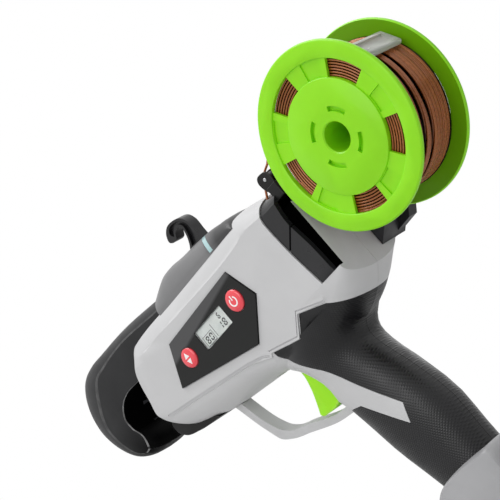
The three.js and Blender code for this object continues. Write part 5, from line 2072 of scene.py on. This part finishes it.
    def _clip(self) -> BMesh:
        """Makes the clear clip across the wire."""
        clip = block((39.4, -15, -6.5), (42.6, 14.6, 6.5))
        chamfered(clip, 1.0, 40, 3)
        pocket = block((41.2, -12.2, -4), (50, 12.2, 4))
        chamfered(pocket, 0.8, 40, 2)
        clip = cut(clip, pocket)
        turn = Matrix.Rotation(math.radians(self.clip_turn), 4, "Y")
        bmesh.ops.transform(clip, matrix=turn, verts=clip.verts)
        bmesh.ops.translate(clip, verts=clip.verts, vec=(self.centre[0], 0, self.centre[1]))
        return clip

    def build(self, finishes: Finishes) -> None:
        """Builds the spool.

        Args:
            finishes: The tool's finishes.
        """
        for side in Side:
            ticket = Ticket(f"flange_{side.word}", "spool", "lime", (f"spool_flange_{side.word}",))
            fitted(self._flange(side), ticket, finishes.lime)
        fitted(self._core(), Ticket("wire_pack", "spool", "wire", ("coil_core",)), finishes.wire, 60)
        fitted(self._winding(), Ticket("wire_turns", "spool", "wire", ("coil_layer",)), finishes.wire, 80)
        fitted(self._clip(), Ticket("clip_clear", "spool", "clip", ("wire_clip",)), finishes.clip)


@dataclass
class SpoolArm:
    """The dark arm on the right side, with the spindle, its collar and nut."""

    body: BodyForm
    centre: Point = (-97.0, 224.0)
    near: float = -24.7
    far: float = -31.7
    hub: float = 19.0
    root: tuple[Point, ...] = (
        (-61.8, 181), (-48, 180.5), (-17, 180.1), (-13.4, 185.6), (-13.4, 222.4), (-20.3, 228.8),
        (-48, 233.4),
    )
    foot_inner: float = -11.0
    screws: tuple[Point, ...] = ((-24, 192), (-24, 223))

    def build(self, finishes: Finishes) -> None:
        """Builds the arm and what it carries.

        Args:
            finishes: The tool's finishes.
        """
        outline = arc(self.centre, self.hub, 70, 300, 28) + list(self.root)
        plate = prism(outline, self.far, self.near)
        foot = [(-48.3, 179), (-48.3, 199.3)] + arc(self.centre, 49.9, -28, -46, 8)
        arm = joined(plate, prism(foot, self.far, self.foot_inner))
        pocket = prism(grown(outline, -6), self.far - 4, self.far + 1.4)
        boss = prism(arc(self.centre, 14, 0, 356, 60), self.far - 6, self.far + 3)
        pocket = cut(pocket, boss, block((-40, -60, 160), (0, 0, 240)))
        bores = [rod(SCREW_BORE, -40, self.far + SCREW_FLOOR, spot) for spot in self.screws]
        arm = cut(arm, pocket, self.body.solid(0.2, 0.0), rod(5.3, -40, 0, self.centre, 48), *bores)
        chamfered(arm, 0.8, 45, 2)
        fitted(arm, Ticket("arm_right", "tool", "dark", ("spool_arm",)), finishes.arm)
        spindle = turned([
            (0, self.far), (4.9, self.far), (4.9, -24.4), (11, -24.4), (11, -22.4), (10.7, -22.1),
            (7.1, -22.1), (7.1, -3.6), (6.4, -2.9), (5.2, -2.9), (5.2, -8), (0, -8),
        ], self.centre, 96)
        fitted(spindle, Ticket("spindle_turned", "tool", "dark", ("spool_spindle",)), finishes.arm)
        nut = prism(arc(self.centre, 9, 30, 330, 5), -35, -32)
        nut = cut(nut, rod(2.6, -40, -33, self.centre))
        chamfered(nut, 0.5, 40)
        fitted(nut, Ticket("nut_steel", "tool", "steel", ("spindle_nut",)), finishes.steel)


@dataclass
class TriggerGroup:
    """The lime trigger and its grey guard."""

    half: float = 6.4
    pin: Point = (34, 170.5)
    blade: tuple[Point, ...] = (
        (38.1, 172.6), (37.1, 167), (36.1, 160.5), (38.1, 152.6), (42, 144.6), (45.4, 138.8), (44, 136.9),
        (33, 136), (26.1, 137.4), (24.3, 149.8), (27.4, 163.6), (29.9, 172.6), (32.6, 175), (35.7, 175),
    )
    guard_half: float = 4.3
    guard_outer: tuple[Point, ...] = (
        (93.7, 177.4), (84.4, 151.9), (80.9, 145), (74, 140.7), (59.9, 136), (38.1, 129.4), (23.6, 127.7),
    )
    guard_inner: tuple[Point, ...] = (
        (23.6, 132.5), (37.1, 133.6), (58.5, 140.5), (72, 145), (76.4, 148.4), (79.5, 152.9), (88.9, 177.4),
    )

    def build(self, finishes: Finishes, body: BodyForm, grip: GripForm) -> None:
        """Builds the trigger and the guard.

        Args:
            finishes: The tool's finishes.
            body: The body that the guard meets.
            grip: The grip that it ends on.
        """
        blade = prism(Outline(self.blade, frozenset({5, 6, 8})).line(1.0), -self.half, self.half)
        blade = cut(blade, rod(2.2, -12, 12, self.pin, 40))
        chamfered(blade, 1.1, 40, 3)
        fitted(blade, Ticket("trigger_blade", "trigger", "lime", ("trigger",)), finishes.trigger)
        line = Outline(self.guard_outer + self.guard_inner, frozenset({0, 6, 7, 13})).line(1.2)
        bow = cut(prism(line, -self.guard_half, self.guard_half), body.solid(0.2, 0.0), grip.solid(0.2))
        chamfered(bow, 1.0, 40, 3)
        fitted(bow, Ticket("guard_bow", "tool", "shell", ("trigger_guard",)), finishes.shell)


@dataclass
class BatteryGroup:
    """The dock under the grip and the battery pack that slides onto it."""

    dock_half: float = 27.0
    dock: tuple[Point, ...] = (
        (-46.1, 42), (-46.8, 60), (-46.9, 66.5), (-44.2, 70.4), (-39, 70.5), (-11, 70.5), (-6, 69.8),
        (14.1, 56.2), (40.4, 50), (43.1, 44.8), (43.2, 42),
    )
    dock_side: tuple[Point, ...] = (
        (-44.2, 42), (-44.2, 58), (-44.2, 64.8), (-42.3, 68.4), (-38, 68.5), (-11, 68.5), (-6, 67.8),
        (12.2, 55.1), (37.6, 48.8), (40.4, 44.8), (40.4, 42),
    )
    dock_bands: tuple[Triple, ...] = (
        (0, 0, 0), (.5, .03, 0), (.7, .1, 0), (.82, .24, 0), (.9, .45, 0), (.96, .7, 0), (1, 1, 0),
    )
    pack_half: float = 24.0
    pack_length: float = 88.0
    corner: float = 6.0
    seam: float = 29.0
    seam_gap: float = 0.3
    top: float = 41.7

    def _dock(self, grip: GripForm) -> BMesh:
        """Makes the dock with its skirts.

        Args:
            grip: The grip that stands in it.

        Returns:
            The solid.
        """
        middle, edge = Outline(self.dock, frozenset({0, 10})), Outline(self.dock_side, frozenset({0, 10}))
        counts = middle.counts(1.6)
        inner, outer = middle.traced(counts), edge.traced(counts)
        collar = crowned(inner, outer, self.dock_half, self.dock_bands, None, 0.6)
        skirts = [block((-41, low, 33.1), (41, high, 45)) for low, high in ((24.3, 27), (-27, -24.3))]
        rails = [block((-40, low, 34.6), (40, high, 37.2)) for low, high in ((21.9, 26.5), (-26.5, -21.9))]
        dock = joined(collar, *skirts, *rails)
        return chamfered(cut(dock, grip.solid(-2.1)), 0.5, 45)

    def _rounded(self, low: float, high: float) -> BMesh:
        """Makes a layer of the pack, rounded at its four upright edges.

        Args:
            low: The Z of its lower face.
            high: The Z of its upper face.

        Returns:
            The solid.
        """
        length, half = self.pack_length / 2, self.pack_half
        layer = block((-length, -half, low), (length, half, high))
        upright = [edge for edge in layer.edges if abs(edge.verts[0].co.z - edge.verts[1].co.z) > 1]
        bevelled(layer, upright, self.corner, 6)
        return layer

    def _tray(self) -> BMesh:
        """Makes the battery's tray with side ribs."""
        half = self.pack_half
        slots = [
            block((x, side * half - 0.8, 6), (x + 2.4, side * half + 0.8, 23))
            for side in (-1, 1) for x in (-26, -18, -10, -2, 6, 14, 22)
        ]
        return chamfered(cut(self._rounded(0, self.seam), *slots), 0.8, 40, 2)

    def _lid(self) -> BMesh:
        """Makes the battery's lid with its rail grooves and the latch pocket."""
        lid = self._rounded(self.seam + self.seam_gap, self.top)
        grooves = [
            block((-REACH, low, 34.3), (REACH, high, 37.5)) for low, high in ((21.6, 40), (-40, -21.6))
        ]
        pocket = block((38.6, -9.4, 30.6), (REACH, 9.4, 39.1))
        blades = [block((-29, y - 1.1, 39.2), (-9, y + 1.1, REACH)) for y in (-8, 8)]
        return chamfered(cut(lid, *grooves, pocket, *blades), 0.5, 45)

    def build(self, finishes: Finishes, grip: GripForm) -> None:
        """Builds the dock, the pack and its latch.

        Args:
            finishes: The tool's finishes.
            grip: The grip that stands in the dock.
        """
        fitted(self._dock(grip), Ticket("dock_collar", "tool", "shell", ("battery_dock",)), finishes.dock)
        fitted(self._tray(), Ticket("pack_tray", "battery", "black", ("battery_tray",)), finishes.pack)
        fitted(self._lid(), Ticket("pack_lid", "battery", "black", ("battery_lid",)), finishes.pack)
        latch = block((41.3, -9, 31), (46, 9, 38.7))
        chamfered(latch, 0.9, 40, 3)
        ribs = [block((45.5, -7, z), (47, 7, z + 0.7)) for z in (32.6, 34.5, 36.4)]
        latch = cut(latch, *ribs)
        fitted(latch, Ticket("pack_latch", "battery_latch", "red", ("battery_latch",)), finishes.red)


@dataclass
class Inside:
    """The pieces of the frame that keep their own shape."""

    def build(self, finishes: Finishes) -> None:
        """Gives each piece its finish.

        Args:
            finishes: The tool's finishes.
        """
        groups = {
            finishes.steel: (
                "trigger_pin", "trigger_spring", "feed_frame", "drive_roller", "pinch_roller", "wire_tube",
                "housing_screw_1", "housing_screw_2", "housing_screw_3", "arm_screw_1", "arm_screw_2",
            ),
            finishes.dark_steel: ("curl_guide", "twister_head"),
            finishes.motor: ("twist_motor", "feed_motor"),
            finishes.arm: ("gearbox",),
            finishes.jaw: ("trigger_switch",),
            finishes.board: ("control_board",),
            finishes.brass: ("terminal_block",),
            finishes.wire: ("tie_wire_lead",),
            finishes.cell: ("battery_cell_1", "battery_cell_2", "battery_cell_3", "battery_cell_4"),
        }
        for finish, nodes in groups.items():
            for node in nodes:
                dressed(node, finish)
                log.info("%s keeps its shape", node)


@dataclass
class Studio:
    """The pale floor, the soft lamps and the camera at the photograph's angle."""

    lens: float = 129.6
    place: Triple = (-616.4, 675.2, 53.0)
    up: Triple = (-0.570, -0.338, 0.749)
    back: Triple = (-0.670, 0.719, -0.185)
    ambient: float = 0.38

    def _camera(self) -> None:
        """Sets the camera."""
        data = bpy.data.cameras.new("camera")
        data.lens = self.lens
        data.sensor_width = 36
        data.clip_start, data.clip_end = 0.01, 20
        camera = in_scene("camera", data)
        back = Vector(self.back).normalized()
        up = (Vector(self.up) - back * Vector(self.up).dot(back)).normalized()
        right = up.cross(back)
        turn = Matrix((right, up, back)).transposed().to_4x4()
        camera.matrix_world = Matrix.Translation(Vector(self.place) * MM) @ turn
        bpy.context.scene.camera = camera

    def _lamp(self, name: str, place: Triple, aim: Triple, size: float, power: float) -> None:
        """Adds one soft lamp.

        Args:
            name: The lamp's name.
            place: Where it stands, in metres.
            aim: What it points at, in metres.
            size: The side of its square, in metres.
            power: Its power in watts.
        """
        data = bpy.data.lights.new(name, "AREA")
        data.shape = "SQUARE"
        data.size = size
        data.energy = power
        lamp = in_scene(name, data)
        toward = Vector(aim) - Vector(place)
        lamp.matrix_world = Matrix.Translation(place) @ toward.to_track_quat("-Z", "Y").to_matrix().to_4x4()

    def _world(self) -> None:
        """Makes a background that is white to the camera and to mirrors, over a grey light."""
        world = bpy.data.worlds.new("studio_white")
        bpy.context.scene.world = world
        world.use_nodes = True
        tree = world.node_tree
        tree.nodes.clear()
        path = tree.nodes.new("ShaderNodeLightPath")
        share = path.outputs["Is Camera Ray"]
        for ray in ("Is Transmission Ray", "Is Glossy Ray"):
            either = tree.nodes.new("ShaderNodeMath")
            either.operation = "MAXIMUM"
            tree.links.new(share, either.inputs[0])
            tree.links.new(path.outputs[ray], either.inputs[1])
            share = either.outputs[0]
        mix = tree.nodes.new("ShaderNodeMixShader")
        tree.links.new(share, mix.inputs[0])
        for place, strength in ((1, self.ambient), (2, 1.0)):
            light = tree.nodes.new("ShaderNodeBackground")
            settle(light, {"Color": (1, 1, 1, 1), "Strength": strength})
            tree.links.new(light.outputs[0], mix.inputs[place])
        out = tree.nodes.new("ShaderNodeOutputWorld")
        tree.links.new(mix.outputs[0], out.inputs["Surface"])

    def _floor(self) -> None:
        """Lays the pale floor."""
        work = bmesh.new()
        bmesh.ops.create_grid(work, x_segments=8, y_segments=8, size=3.0)
        mesh = bpy.data.meshes.new("floor")
        work.to_mesh(mesh)
        work.free()
        bench = Bench("pale_floor")
        tones = Tones("pale_floor", "#d2d2d2", "#d8d8d8")
        bench.feed(bench.clouded(bench.noise(60.0, 3.0), tones), "Base Color")
        settle(bench.shader, {"Roughness": 0.8})
        mesh.materials.append(bench.material)
        floor = in_scene("floor", mesh)

    def build(self) -> None:
        """Sets up the whole studio."""
        self._camera()
        self._world()
        self._floor()
        middle = (0.0, 0.0, 0.19)
        self._lamp("lamp_over", (0.0, 0.25, 1.5), middle, 0.9, 12.0)
        self._lamp("lamp_left", (-0.3, 1.4, 0.75), middle, 1.0, 8.0)
        self._lamp("lamp_right", (0.1, -1.4, 0.9), middle, 1.0, 2.5)
        bpy.context.scene.view_settings.view_transform = "Standard"


def main() -> None:
    """Builds the tool piece by piece and sets the studio round it."""
    logging.basicConfig(level=logging.INFO, format="%(name)s: %(message)s")
    finishes = Finishes()
    body, grip, neck, zone, cover = BodyForm(), GripForm(), BareNeck(), RubberZone(), CoverForm()
    nose = Nose()
    Studio().build()
    Housing(body, grip, neck, zone).build(finishes, nose.solid(0.25))
    GripRubber(body, grip, neck, zone).build(finishes)
    nose.build(finishes)
    TopCover(cover).build(finishes)
    DisplayPanel().build(finishes)
    RearCovers(body).build(finishes)
    Spool().build(finishes)
    SpoolArm(body).build(finishes)
    TriggerGroup().build(finishes, body, grip)
    BatteryGroup().build(finishes, grip)
    Inside().build(finishes)
    bpy.context.view_layer.update()


if __name__ == "__main__":
    main()
